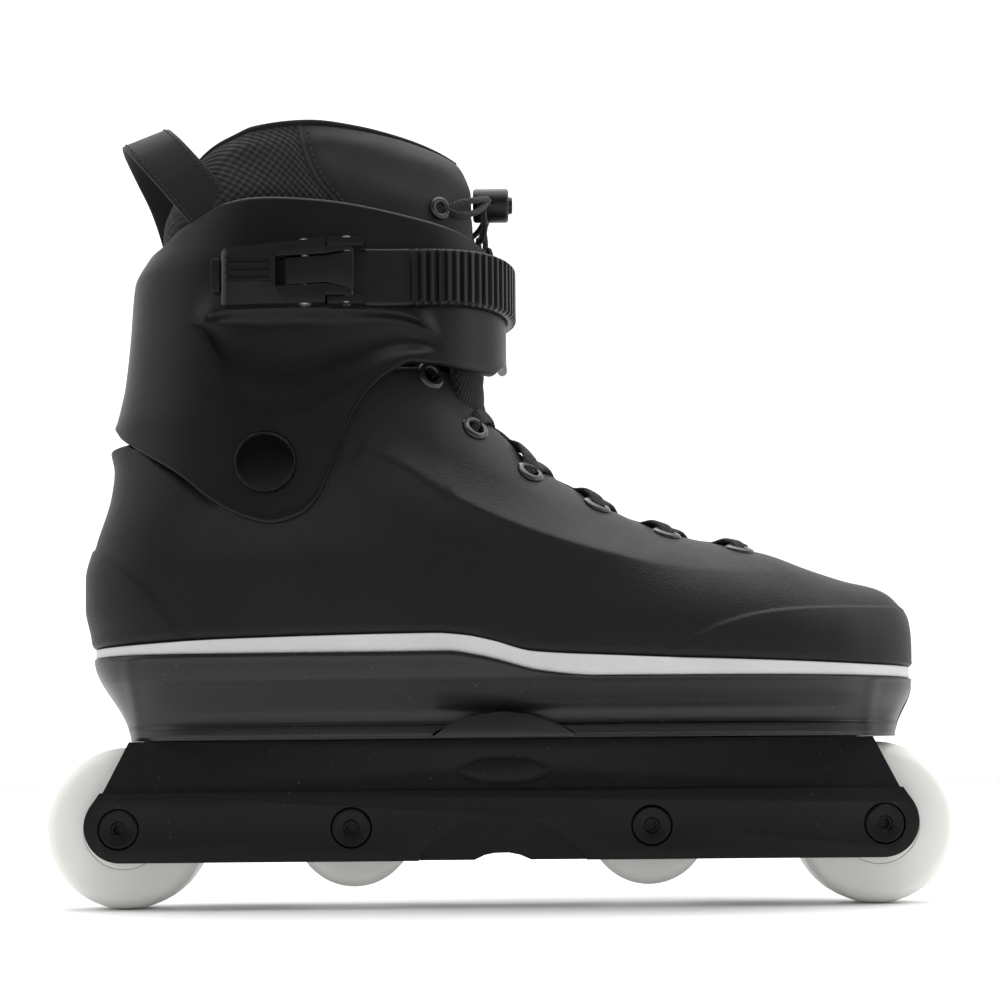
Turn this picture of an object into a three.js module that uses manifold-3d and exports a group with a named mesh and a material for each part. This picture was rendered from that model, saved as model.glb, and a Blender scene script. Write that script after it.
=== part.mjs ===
// Inline skate for the right foot, for street and park skating: four wheels in one line under a
// moulded shell boot with a hinged cuff, a ratchet buckle, laces and a soft inner boot.
// Millimetres. +X points to the toe, -Y to the outer (lateral) side, +Z up, the floor is z = 0.
import * as THREE from "three";
import { mergeVertices } from "three/addons/utils/BufferGeometryUtils.js";
import Module from "manifold-3d";

const wasm = await Module();
wasm.setup();

// ---------------------------------------------------------------- driving dimensions
const fitGap = 0.3; // between pieces that rest on each other
const runGap = 0.12; // radial, between pieces that turn on each other

const wheelDiameter = 58; // outer wheels
const wheelWidth = 24;
const antirockerDiameter = 43; // inner wheels, held clear of the floor
const wheelbase = 268.8; // outer axle to outer axle
const innerAxleSpacing = 105.4;
const coreRadius = 14.5; // moulded core inside the urethane
const bearingRadius = 11;
const bearingBore = 4;
const bearingWidth = 7;
const axleRadius = 3.9;
const axleHeadRadius = 7;
const axleHeadDepth = 4.4;
const axleSocketRadius = 2.1;
const axleSocketDepth = 3;

const channelGap = 1; // wheel side to frame wall
const frameHalfWidth = 23; // lower panels
const frameUpperHalfWidth = 21;
const frameDeck = 7.5; // thickness of the deck under the boot
const frameStepRise = 12.8; // panel step above the axles
const frameEndRadius = 12.7;
const frameEndInset = 0.6; // centre of the rounded end, inboard of the outer axle
const frameBlockHalf = 29.5; // solid block between the inner wheels
const frameBoltSpacing = 165; // universal mounting bolts
const frameBoltRadius = 4;
const frameBoltHeadRadius = 6.5;
const plateGap = 2; // wheel top to the underside of the boot

const bootLength = 298; // toe to heel
const shellWall = 4;
const shellFloor = 4;
const cuffWall = 3.2;
const cuffGap = 0.9; // shell and liner to the inside of the cuff
const cuffHalfWidth = 47;
const linerWall = 5.5;
const linerGap = 0.6;
const insoleThickness = 3.4;
const heelPadThickness = 2.4;
const pivotX = -79.5;
const pivotHeight = 94.3; // above the boot's underside
const pivotBarrelRadius = 5;
const pivotCapRadius = 10.6;
const strapWidth = 20;
const strapThickness = 2.6;
const strapHeight = 157.5; // strap's middle above the boot's underside
const laceWidth = 6.4;
const laceThickness = 1.6;
const throatHalfWidth = 8;

// ---------------------------------------------------------------- worked out from them
const axleZ = wheelDiameter / 2;
const plateZ = wheelDiameter + plateGap; // underside of the boot
const outerAxleX = wheelbase / 2;
const innerAxleX = innerAxleSpacing / 2;
const channelHalf = wheelWidth / 2 + channelGap;
const designLength = 298; // length at which the boot's outlines are written
const along = (x) => (x * bootLength) / designLength;

// ---------------------------------------------------------------- small helpers
const clamp = (value, low, high) => Math.min(high, Math.max(low, value));

function smooth(low, high, value) {
  const t = clamp((value - low) / (high - low), 0, 1);
  return t * t * (3 - 2 * t);
}

// Quarter of a superellipse: 1 at t = 0, falling to 0 at t = 1.
const superArc = (t, power = 2.2) => (1 - clamp(t, 0, 1) ** power) ** (1 / power);

// Smooth curve through [input, output] pairs, without overshoot; constant past both ends.
function curve(pairs) {
  const slopes = pairs.map((pair, i) => {
    if (i === 0 || i === pairs.length - 1) {
      return 0;
    }
    const before = (pair[1] - pairs[i - 1][1]) / (pair[0] - pairs[i - 1][0]);
    const after = (pairs[i + 1][1] - pair[1]) / (pairs[i + 1][0] - pair[0]);
    return before * after <= 0 ? 0 : (2 * before * after) / (before + after);
  });
  return (input) => {
    const value = clamp(input, pairs[0][0], pairs[pairs.length - 1][0]);
    const i = clamp(pairs.findIndex((pair) => pair[0] >= value) - 1, 0, pairs.length - 2);
    const span = pairs[i + 1][0] - pairs[i][0];
    const t = (value - pairs[i][0]) / span;
    const start = pairs[i][1] * (1 + 2 * t) * (1 - t) ** 2 + slopes[i] * span * t * (1 - t) ** 2;
    const end = pairs[i + 1][1] * t * t * (3 - 2 * t) + slopes[i + 1] * span * t * t * (t - 1);
    return start + end;
  };
}

// A closed geometry as a manifold solid, faces pointing out.
function solid(geometry) {
  const bare = geometry.clone();
  bare.deleteAttribute("normal");
  bare.deleteAttribute("uv");
  const merged = mergeVertices(bare, 1e-4);
  const vertices = merged.getAttribute("position").array;
  const corner = (i) => new THREE.Vector3().fromArray(vertices, 3 * i);
  const triangles = [];
  let volume = 0;
  for (let i = 0; i < merged.index.count; i += 3) {
    const [a, b, c] = [0, 1, 2].map((k) => merged.index.getX(i + k));
    if (a !== b && b !== c && c !== a) {
      triangles.push([a, b, c]);
      volume += corner(a).dot(corner(b).cross(corner(c)));
    }
  }
  const facing = volume > 0 ? triangles : triangles.map(([a, b, c]) => [a, c, b]);
  const mesh = new wasm.Mesh({
    numProp: 3,
    vertProperties: new Float32Array(vertices),
    triVerts: new Uint32Array(facing.flat()),
  });
  return new wasm.Manifold(mesh);
}

// A piece as a named mesh.
function piece(name, body, material) {
  const mesh = body.getMesh();
  const geometry = new THREE.BufferGeometry();
  geometry.setAttribute("position", new THREE.BufferAttribute(mesh.vertProperties, 3));
  geometry.setIndex(new THREE.BufferAttribute(mesh.triVerts, 1));
  geometry.computeVertexNormals();
  const result = new THREE.Mesh(geometry, material);
  result.name = name;
  return result;
}

const block = (x0, x1, y0, y1, z0, z1) =>
  solid(
    new THREE.BoxGeometry(x1 - x0, y1 - y0, z1 - z0).translate(
      (x0 + x1) / 2,
      (y0 + y1) / 2,
      (z0 + z1) / 2
    )
  );

// Side outline in X and Z, between two Y planes.
function slab(outline, y0, y1) {
  const shape = outline instanceof THREE.Shape ? outline : new THREE.Shape(toPoints(outline));
  const geometry = new THREE.ExtrudeGeometry(shape, {
    depth: y1 - y0,
    bevelEnabled: false,
    curveSegments: 10,
  });
  return solid(geometry.rotateX(Math.PI / 2).translate(0, y1, 0));
}

// Plan outline in X and Y, between two heights.
function prism(outline, z0, z1) {
  const options = { depth: z1 - z0, bevelEnabled: false };
  return solid(
    new THREE.ExtrudeGeometry(new THREE.Shape(toPoints(outline)), options).translate(0, 0, z0)
  );
}

const toPoints = (pairs) => pairs.map(([a, b]) => new THREE.Vector2(a, b));

// Turned about the Y axis, with a flat at the top and bottom. Radii are across the flats.
function turned(profile, segments = 12) {
  const stretch = 1 / Math.cos(Math.PI / segments);
  const points = profile.map(([radius, y]) => new THREE.Vector2(radius * stretch, y));
  if (profile[0][0] > 0) {
    points.push(points[0].clone());
  }
  return new THREE.LatheGeometry(points, segments, Math.PI / segments);
}

const rod = (radius, y0, y1, x, z, segments = 12) =>
  solid(
    turned(
      [
        [0, y0],
        [radius, y0],
        [radius, y1],
        [0, y1],
      ],
      segments
    ).translate(x, 0, z)
  );

// Stack of closed outlines: point(angle, z) gives [x, y] for angles from -PI to PI.
function loft(levels, point, around = 28) {
  const rows = levels.length - 1;
  const geometry = new THREE.CylinderGeometry(1, 1, 1, around, rows);
  const position = geometry.getAttribute("position");
  for (let i = 0; i < position.count; i += 1) {
    const x = position.getX(i);
    const z = position.getZ(i);
    const level = levels[Math.round((position.getY(i) + 0.5) * rows)];
    const [px, py] = Math.hypot(x, z) > 0.5 ? point(Math.atan2(x, z), level) : middle(point, level);
    position.setXYZ(i, px, py, level);
  }
  return solid(geometry);
}

function middle(point, level) {
  const [ax, ay] = point(Math.PI / 2, level);
  const [bx, by] = point(-Math.PI / 2, level);
  return [(ax + bx) / 2, (ay + by) / 2];
}

// A bar bent along points: `thick` lies across both the path and `up`, `wide` lies along `up`.
// `up` is a vector, or a function that gives one for each spot.
function ribbon(points, thick, wide, up, steps) {
  const path = new THREE.CatmullRomCurve3(points);
  const geometry = new THREE.BoxGeometry(1, 1, 1, steps, 1, 1);
  const position = geometry.getAttribute("position");
  for (let i = 0; i < position.count; i += 1) {
    const u = clamp(position.getX(i) + 0.5, 0, 1);
    const tangent = path.getTangentAt(u);
    const spot = path.getPointAt(u);
    const upward = typeof up === "function" ? up(spot) : up;
    const side = new THREE.Vector3().crossVectors(upward, tangent).normalize();
    const rise = new THREE.Vector3().crossVectors(tangent, side);
    spot.addScaledVector(side, position.getY(i) * thick);
    spot.addScaledVector(rise, position.getZ(i) * wide);
    position.setXYZ(i, spot.x, spot.y, spot.z);
  }
  return solid(geometry);
}

// Round cord along a path.
function cord(points, radius, steps) {
  const section = new THREE.Shape().absarc(0, 0, radius, 0, 2 * Math.PI);
  const options = { steps, extrudePath: new THREE.CatmullRomCurve3(points), curveSegments: 4 };
  return solid(new THREE.ExtrudeGeometry(section, options));
}

const vector = (x, y, z) => new THREE.Vector3(x, y, z);
const UP = vector(0, 0, 1);

// ---------------------------------------------------------------- materials
function material(color, roughness, metalness = 0) {
  return new THREE.MeshStandardMaterial({ color, roughness, metalness });
}
const shellPlastic = material(0x23262a, 0.55);
const satinPlastic = material(0x1b1c1f, 0.4);
const framePlastic = material(0x25272a, 0.45);
const midsoleFoam = material(0xc9ccd0, 0.7);
const urethane = material(0xe9e8e2, 0.35);
const corePlastic = material(0xdad8d0, 0.45);
const steel = material(0xb8bcc0, 0.3, 0.9);
const blackSteel = material(0x17181a, 0.35, 0.7);
const fabric = material(0x202124, 0.9);
const webbing = material(0x18191b, 0.85);
const foam = material(0x3a3c40, 0.9);

// ---------------------------------------------------------------- outlines of the boot
// Heights are above the boot's underside. Rear and ridge are the boot's line in side view.
const rearLine = curve([
  [20, -146],
  [36, -146.8],
  [48, -149],
  [58, -149],
  [71, -145.7],
  [88, -140.4],
  [97, -139.3],
  [106, -140.7],
  [140, -134],
]);
const ridgeLine = curve([
  [-60, 300],
  [-40, 215],
  [-30, 175],
  [-22, 150],
  [-14.5, 130],
  [-6, 118.5],
  [2.5, 110],
  [10, 102],
  [22, 93.5],
  [37, 84.5],
  [51, 77.5],
  [66, 72.5],
  [80, 69.3],
  [95, 66],
  [110, 60.5],
  [124, 56],
  [134, 53.8],
  [139, 51.8],
  [143, 48.5],
  [146, 44.5],
  [148, 39],
  [149, 30],
]);
const lateralPlan = curve([
  [-149, 37],
  [-105, 37],
  [-75, 38.5],
  [-40, 39.5],
  [0, 43.5],
  [40, 48.5],
  [70, 50],
  [95, 48],
  [115, 42],
  [130, 33.5],
  [140, 24.5],
  [146, 14],
  [149, 0],
]);
const medialPlan = curve([
  [-149, 37],
  [-105, 37],
  [-75, 37.5],
  [-40, 37],
  [0, 40],
  [40, 47],
  [70, 51],
  [95, 50],
  [115, 44.5],
  [130, 35],
  [140, 25],
  [146, 14],
  [149, 0],
]);
// Underside of the shell and underside of the midsole, along X.
const shellSoleLine = curve([
  [-150, 33],
  [-92, 35.2],
  [-24, 36.3],
  [-14, 35.5],
  [-4.6, 33.6],
  [10.5, 29.5],
  [36, 27.9],
  [71, 26.4],
  [150, 24.5],
]);
const midsoleLine = curve([
  [-150, 29.6],
  [-20, 29.7],
  [-6.9, 27.6],
  [12.6, 22.5],
  [31, 20.7],
  [150, 20.4],
]);
const heelRounding = 42;
const roofBase = 30; // where the sides start to lean in
const ankleBulge = 6;
const ankleReach = 38;
const toeX = 149;

const unscale = (x) => (x * designLength) / bootLength;

function shellHalf(x, z, side) {
  const plan = side < 0 ? lateralPlan(x) : medialPlan(x);
  const ankle = ankleBulge * Math.exp(-(((x - pivotX) / ankleReach) ** 2)) * smooth(60, 95, z);
  const roof = (z - roofBase) / (ridgeLine(x) - roofBase);
  const back = (x - rearLine(z)) / heelRounding;
  return (plan + ankle) * superArc(roof) * superArc(1 - back);
}

// Front of the boot at a height: where the ridge comes down to it.
function shellFront(z) {
  let low = -60;
  let high = toeX;
  if (z <= ridgeLine(toeX)) {
    return toeX;
  }
  for (let i = 0; i < 40; i += 1) {
    const mid = (low + high) / 2;
    if (ridgeLine(mid) > z) {
      low = mid;
    } else {
      high = mid;
    }
  }
  return low;
}

// Moves an outline in by `inset`, square to itself.
function insetPoint(place, angle, inset) {
  const step = 0.02;
  const [x, y] = place(angle);
  const [ax, ay] = place(angle - step);
  const [bx, by] = place(angle + step);
  const length = Math.hypot(bx - ax, by - ay);
  return [x - (inset * (by - ay)) / length, y + (inset * (bx - ax)) / length];
}

// Outline of the shell at a height, angle 0 at the heel and PI at the toe, lateral side first.
function shellPoint(angle, z, inset = 0) {
  const level = z + inset;
  const place = (a) => {
    const rear = rearLine(level);
    const x = rear + ((shellFront(level) - rear) * (1 - Math.cos(a))) / 2;
    const side = Math.sin(a) > 0 ? -1 : 1;
    return [along(x), side * shellHalf(x, level, side)];
  };
  return insetPoint(place, angle, inset);
}

// Height of the shell's surface over a point of the foot.
function shellTop(x, y) {
  const spot = unscale(x);
  const plan = y < 0 ? lateralPlan(spot) : medialPlan(spot);
  return roofBase + (ridgeLine(spot) - roofBase) * superArc(Math.abs(y) / plan);
}

// Outline of a sole layer: rear and front ends in X and a share of the boot's width.
function solePoint(angle, rear, front, share) {
  const part = (1 - Math.cos(angle)) / 2;
  const x = -149 + 298 * part;
  const side = Math.sin(angle) > 0 ? -1 : 1;
  const plan = side < 0 ? lateralPlan(x) : medialPlan(x);
  const back = superArc(1 - (x + 149) / heelRounding);
  return [along(rear + (front - rear) * part), side * plan * back * share];
}

// Area of the side view between two lines, with an offset added to each.
function between(lowLine, lowAdd, highLine, highAdd, first = -155, last = 155, steps = 24) {
  const xs = Array.from({ length: steps + 1 }, (_, i) => first + ((last - first) * i) / steps);
  const low = xs.map((x) => [along(x), lowLine(x) + lowAdd]);
  const high = xs.map((x) => [along(x), highLine(x) + highAdd]).reverse();
  return slab([...low, ...high], -70, 70);
}

const flat = (z) => () => z;

// ---------------------------------------------------------------- outlines of the cuff
const cuffRear = curve([
  [70, -139.2],
  [110, -139.2],
  [118.7, -137.3],
  [127.4, -135.4],
  [145, -133.4],
  [164, -131.8],
  [175.5, -125.5],
  [190, -119.5],
]);
const cuffFront = curve([
  [70, 3.2],
  [168, 3.2],
  [190, -1.5],
]);
const cuffWide = curve([
  [70, cuffHalfWidth],
  [130, cuffHalfWidth - 0.5],
  [165, cuffHalfWidth],
  [190, cuffHalfWidth + 1],
]);
const cuffPower = 2.2;

function cuffPoint(angle, z, inset = 0) {
  const place = (a) => {
    const rear = cuffRear(z);
    const front = cuffFront(z);
    const part = Math.cos(a);
    const x = (rear + front) / 2 - ((front - rear) / 2) * part;
    const side = Math.sin(a) > 0 ? -1 : 1;
    return [along(x), side * cuffWide(z) * superArc(Math.abs(part), cuffPower)];
  };
  return insetPoint(place, angle, inset);
}

const cuffLowEdge = [
  [-150, 112],
  [-139, 112],
  [-133.5, 106.4],
  [-110, 90.9],
  [-99, 82],
  [-88, 75.8],
  [-78, 73.2],
  [-68, 75.8],
  [-61.6, 82],
  [-57.5, 91.2],
  [-50.2, 109.5],
  [-45, 118.1],
  [-36.8, 125.4],
  [-28.7, 128.3],
  [-10.4, 128.3],
  [-2, 128.6],
  [3, 133.5],
  [10, 134],
];
const cuffLateralTop = [
  [10, 168],
  [-3, 169],
  [-7, 175],
  [-13.3, 177.7],
  [-31.5, 180.7],
  [-61.8, 185.1],
  [-85.6, 186.7],
  [-102.4, 183.3],
  [-119.6, 175],
  [-128, 174],
  [-150, 174],
];
const cuffMedialTop = [
  [10, 180],
  [0, 184],
  [-31.5, 184],
  [-61.8, 185.1],
  [-85.6, 186.7],
  [-102.4, 183.3],
  [-119.6, 175],
  [-128, 174],
  [-150, 174],
];
const scaled = (points) => points.map(([x, z]) => [along(x), z]);

// ---------------------------------------------------------------- frame and wheels
function frameOutline(top) {
  const half = outerAxleX - frameEndInset;
  const endZ = axleZ + 0.9;
  const shape = new THREE.Shape();
  shape.moveTo(-(outerAxleX - 3.4), top);
  shape.lineTo(-(outerAxleX + 6.6), axleZ + frameStepRise);
  shape.absarc(-half, endZ, frameEndRadius, 0.82 * Math.PI, 1.5 * Math.PI, false);
  shape.lineTo(half, endZ - frameEndRadius);
  shape.absarc(half, endZ, frameEndRadius, 1.5 * Math.PI, 2.18 * Math.PI, false);
  shape.lineTo(outerAxleX + 6.6, axleZ + frameStepRise);
  shape.lineTo(outerAxleX - 3.4, top);
  return shape;
}

function buildFrame() {
  const top = plateZ - fitGap;
  const deckUnder = top - frameDeck;
  const stepZ = axleZ + frameStepRise;
  const outline = slab(frameOutline(top), -frameHalfWidth, frameHalfWidth);
  const reach = outerAxleX + 40;
  let frame = outline;
  for (const side of [-1, 1]) {
    const outside = side * (frameHalfWidth + 5);
    const upper = side * frameUpperHalfWidth;
    const [y0, y1] = [Math.min(outside, upper), Math.max(outside, upper)];
    frame = frame.subtract(block(-reach, reach, y0, y1, stepZ, top + 5));
    const channelX = [side * frameBlockHalf, side * reach].sort((a, b) => a - b);
    frame = frame.subtract(block(...channelX, -channelHalf, channelHalf, -5, deckUnder));
    const wellEdge = outerAxleX - wheelDiameter / 2 - channelGap;
    const wellX = [side * wellEdge, side * reach].sort((a, b) => a - b);
    frame = frame.subtract(block(...wellX, -channelHalf, channelHalf, 0, top + 5));
    const boltX = (side * frameBoltSpacing) / 2;
    const bolt = uprightRod(frameBoltRadius + fitGap, deckUnder - 1, top + 1, boltX);
    frame = frame.subtract(bolt);
  }
  const grooveZ = axleZ + 3.3;
  const grooveHalf = 28;
  const bottom = axleZ - frameEndRadius;
  const arch = [
    [-grooveHalf - 3, bottom - 5],
    [-grooveHalf, bottom + 3.5],
    [-grooveHalf * 0.76, bottom + 9.5],
    [-grooveHalf * 0.46, grooveZ - 1.8],
    [0, grooveZ],
    [grooveHalf * 0.46, grooveZ - 1.8],
    [grooveHalf * 0.76, bottom + 9.5],
    [grooveHalf, bottom + 3.5],
    [grooveHalf + 3, bottom - 5],
  ];
  const grooveDepth = 5;
  frame = frame.subtract(slab(arch, -frameHalfWidth - 5, -frameHalfWidth + grooveDepth));
  frame = frame.subtract(slab(arch, frameHalfWidth - grooveDepth, frameHalfWidth + 5));
  const notch = [
    [-10.5, bottom - 5],
    [-9.7, bottom + 0.8],
    [-5, bottom + 2.6],
    [0, bottom + 3.2],
    [5, bottom + 2.6],
    [9.7, bottom + 0.8],
    [10.5, bottom - 5],
  ];
  frame = frame.subtract(slab(notch, -frameHalfWidth - 5, frameHalfWidth + 5));
  for (const x of axlePlaces) {
    const bore = rod(axleRadius + 2.4 + fitGap, 0, frameHalfWidth + 1, x, axleZ);
    const lateralBore = rod(axleRadius + fitGap, -frameHalfWidth - 1, 0, x, axleZ);
    const sink = axleHeadDepth + fitGap;
    const headBore = rod(axleHeadRadius + fitGap, -frameHalfWidth - 1, -frameHalfWidth + sink, x, axleZ);
    const nutBore = rod(axleHeadRadius + fitGap, frameHalfWidth - sink, frameHalfWidth + 1, x, axleZ);
    frame = frame.subtract(bore).subtract(lateralBore).subtract(headBore).subtract(nutBore);
  }
  return piece("frame", frame, framePlastic);
}

const axlePlaces = [-outerAxleX, -innerAxleX, innerAxleX, outerAxleX];

function uprightRod(radius, z0, z1, x, y = 0, segments = 12) {
  const profile = [
    [0, z0],
    [radius, z0],
    [radius, z1],
    [0, z1],
  ];
  return solid(turned(profile, segments).rotateX(Math.PI / 2).translate(x, y, 0));
}

// Urethane ring: flat sides, round shoulders and a flat running band.
function tyreProfile(outer, inner, band) {
  const half = wheelWidth / 2;
  const shoulder = half - 1;
  return [
    [inner, -half],
    [outer - 6, -half],
    [outer - 2.8, -shoulder],
    [outer - 0.8, -half * 0.72],
    [outer, -band],
    [outer, band],
    [outer - 0.8, half * 0.72],
    [outer - 2.8, shoulder],
    [outer - 6, half],
    [inner, half],
  ];
}

const wheelSides = 20; // flats round everything that turns on an axle

function ringProfile(inner, outer, y0, y1) {
  return [
    [inner, y0],
    [outer, y0],
    [outer, y1],
    [inner, y1],
  ];
}

function buildWheel(index, x) {
  const outer = index === 0 || index === 3;
  const half = wheelWidth / 2;
  const name = index === 0 ? "rear" : "front";
  const hubBore = bearingRadius + runGap / 2;
  const stop = half - bearingWidth - fitGap;
  const pieces = [];
  // The bore steps in between the two bearings, so each bearing seats on a shoulder.
  const bored = (radius, inner) => [
    [hubBore, -inner],
    [radius, -inner],
    [radius, inner],
    [hubBore, inner],
    [hubBore, stop],
    [hubBore - 1.5, stop],
    [hubBore - 1.5, -stop],
    [hubBore, -stop],
  ];
  if (outer) {
    const tyre = turned(tyreProfile(wheelDiameter / 2, coreRadius + runGap, 5.5), wheelSides);
    pieces.push(piece(`tyre_${name}`, solid(tyre), urethane));
    pieces.push(piece(`hub_${name}`, solid(turned(bored(coreRadius, half), wheelSides)), corePlastic));
  } else {
    const profile = tyreProfile(antirockerDiameter / 2, hubBore, 7).slice(0, -1);
    const inner = bored(0, half).slice(3);
    const side = index === 1 ? "rear" : "front";
    const wheel = solid(turned([...profile, ...inner], wheelSides));
    pieces.push(piece(`antirocker_${side}`, wheel, urethane));
  }
  for (const side of [-1, 1]) {
    const [y0, y1] = [half - bearingWidth, half].map((y) => y * side).sort((a, b) => a - b);
    const bearing = solid(turned(ringProfile(bearingBore, bearingRadius, y0, y1), wheelSides));
    const letter = side < 0 ? "lateral" : "medial";
    pieces.push(piece(`bearing_${index + 1}_${letter}`, bearing, steel));
  }
  const spacerHalf = half - bearingWidth - fitGap;
  const spacer = solid(turned(ringProfile(bearingBore, 6, -spacerHalf, spacerHalf)));
  pieces.push(piece(`bearing_spacer_${index + 1}`, spacer, steel));
  const headOuter = -frameHalfWidth - 0.4;
  const headInner = -frameHalfWidth + axleHeadDepth;
  const bolt = [
    [0, headOuter + axleSocketDepth],
    [axleSocketRadius, headOuter + axleSocketDepth],
    [axleSocketRadius, headOuter],
    [axleHeadRadius - 0.8, headOuter],
    [axleHeadRadius, headOuter + 0.8],
    [axleHeadRadius, headInner],
    [axleRadius - runGap, headInner],
    [axleRadius - runGap, frameHalfWidth - 2],
    [0, frameHalfWidth - 2],
  ];
  pieces.push(piece(`axle_bolt_${index + 1}`, solid(turned(bolt)), blackSteel));
  const nut = [
    [axleRadius, channelHalf + fitGap],
    [axleRadius + 2.3, channelHalf + fitGap],
    [axleRadius + 2.3, frameHalfWidth - axleHeadDepth],
    [axleHeadRadius, frameHalfWidth - axleHeadDepth],
    [axleHeadRadius, frameHalfWidth - 0.4],
    [axleHeadRadius - 0.8, frameHalfWidth + 0.4],
    [axleRadius, frameHalfWidth + 0.4],
  ];
  pieces.push(piece(`axle_nut_${index + 1}`, solid(turned(nut)), blackSteel));
  const wheel = new THREE.Group();
  wheel.position.set(x, 0, axleZ);
  wheel.add(...pieces);
  return wheel;
}

// ---------------------------------------------------------------- sole
const plateRearLine = curve([
  [0, -133.5],
  [4.5, -134.5],
  [29, -146.3],
]);
const plateFrontLine = curve([
  [0, 143],
  [4.5, 144],
  [18, 149.2],
  [29, 149.2],
]);
const plateShare = curve([
  [0, 0.8],
  [4.4, 0.81],
  [5.6, 0.785],
  [12, 0.86],
  [19, 0.98],
  [21, 1.02],
  [30, 1.03],
]);
const plateBoltSeat = 15; // the mounting bolts end here, above the boot's underside
const nutRadius = 6;

function buildSole() {
  const platePoint = (angle, z) =>
    solePoint(angle, plateRearLine(z), plateFrontLine(z), plateShare(z));
  let plate = loft([0, 4.4, 5.6, 12, 19, 31], platePoint, 32);
  plate = plate.intersect(between(flat(-5), 0, midsoleLine, -fitGap));
  const pocketPoint = (angle, z) => insetPoint((a) => platePoint(a, z), angle, 6);
  const pocket = loft([8, 14, 20, 31], pocketPoint, 18);
  let hollow = pocket;
  const bosses = [-1, 1].map((side) => (side * frameBoltSpacing) / 2);
  for (const x of bosses) {
    hollow = hollow.subtract(uprightRod(nutRadius + 4, 0, 40, x));
    plate = plate.subtract(uprightRod(frameBoltRadius + fitGap, -1, plateBoltSeat + 1, x));
    plate = plate.subtract(uprightRod(nutRadius + fitGap, 6, 40, x));
  }
  plate = plate.subtract(hollow);
  const slideHalf = 24;
  const slideOutline = (grow) => [
    [-slideHalf - grow, -1],
    [-slideHalf - grow, 1.7 + grow],
    [-slideHalf * 0.8, 4.4 + grow],
    [-slideHalf * 0.42, 7.8 + grow],
    [0, 9 + grow],
    [slideHalf * 0.42, 7.8 + grow],
    [slideHalf * 0.8, 4.4 + grow],
    [slideHalf + grow, 1.7 + grow],
    [slideHalf + grow, -1],
  ];
  const slideHalfWidth = 38;
  const slideDepth = 7;
  const pieces = [];
  for (const side of [-1, 1]) {
    const edges = [side * (slideHalfWidth - slideDepth), side * (slideHalfWidth + 20)];
    const [y0, y1] = edges.sort((a, b) => a - b);
    plate = plate.subtract(slab(slideOutline(fitGap), y0 - fitGap, y1 + fitGap));
  }
  // The insert is a strap across the underside, with a raised arch at each side.
  const strap = block(-slideHalf, slideHalf, -slideHalfWidth, slideHalfWidth, 0, 1.7);
  const keepClear = slideOutline(0).map(([x, z]) => [x, Math.max(z, 0)]);
  let slide = strap;
  for (const side of [-1, 1]) {
    const edges = [side * (slideHalfWidth - slideDepth), side * slideHalfWidth];
    const [y0, y1] = edges.sort((a, b) => a - b);
    slide = slide.add(slab(keepClear, y0, y1));
  }
  const bed = slideHalf + fitGap;
  plate = plate.subtract(block(-bed, bed, -60, 60, -1, 1.7 + fitGap));
  pieces.push(piece("soul_plate", plate, satinPlastic));
  pieces.push(piece("backslide_plate", slide, satinPlastic));
  const midsolePoint = (angle) => solePoint(angle, -145.8, 148.4, 1.005);
  const midsole = loft([18, 30, 40], midsolePoint, 32);
  const layer = between(midsoleLine, 0, shellSoleLine, -fitGap);
  pieces.push(piece("midsole", midsole.intersect(layer), midsoleFoam));
  for (const [name, x] of [
    ["rear", bosses[0]],
    ["front", bosses[1]],
  ]) {
    const underDeck = -fitGap - frameDeck;
    const bolt = [
      [0, underDeck - fitGap - 5],
      [frameBoltHeadRadius, underDeck - fitGap - 5],
      [frameBoltHeadRadius, underDeck - fitGap],
      [frameBoltRadius, underDeck - fitGap],
      [frameBoltRadius, plateBoltSeat],
      [0, plateBoltSeat],
    ];
    const upright = (profile) => turned(profile, 12).rotateX(Math.PI / 2).translate(x, 0, 0);
    const nut = ringProfile(frameBoltRadius + runGap, nutRadius, 6 + fitGap, plateBoltSeat - 0.5);
    pieces.push(piece(`frame_bolt_${name}`, solid(upright(bolt)), blackSteel));
    pieces.push(piece(`frame_nut_${name}`, solid(upright(nut)), steel));
  }
  return pieces;
}

// ---------------------------------------------------------------- shell
const shellLevels = [20, 36, 46, 52, 57, 62, 66, 70, 77, 85, 95, 105, 118, 134];
const shellRim = [
  [-160, 106],
  [-134, 106],
  [-128, 103],
  [-112, 104],
  [-100, 108],
  [-85, 115],
  [-50, 127],
  [-14, 131.5],
  [40, 133],
  [40, 160],
  [-160, 160],
];
// The hollow that the cuff sits in starts above this line.
const recessEdge = [
  [-160, 104.8],
  [-132.5, 104.8],
  [-115.5, 93.9],
  [-104.2, 85.1],
  [-95.6, 78.5],
  [-86.3, 72.7],
  [-76, 70.4],
  [-66, 72],
  [-57.6, 77.4],
  [-53.4, 83],
  [-51.5, 92],
  [-46, 105],
  [-38, 114],
  [-25, 120],
  [40, 121],
  [40, 160],
  [-160, 160],
];
// Lace eyelets in plan, toe end last, half of each pair.
const eyelets = [
  [-23.5, 29],
  [-6.4, 26],
  [11.1, 22],
  [34.8, 19],
  [59.4, 17],
  [85.3, 15],
];
const eyeletRadius = 2.9;
const throat = (half) => [
  [along(-60), -half - 5],
  [along(-14), -half - 4],
  [along(20), -half - 1],
  [along(85), -half],
  [along(92), 0],
  [along(85), half],
  [along(20), half + 1],
  [along(-14), half + 4],
  [along(-60), half + 5],
];
const cavityInset = (z) => shellWall + 3.2 * smooth(52, 68, z);

// Nested layers share their levels and sides, so that their facets stay parallel.
const innerLevels = shellLevels.map((z) => z + 4);
const innerSides = 20;

function layer(extra) {
  return loft(innerLevels, (angle, z) => shellPoint(angle, z, cavityInset(z) + extra), innerSides);
}

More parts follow.
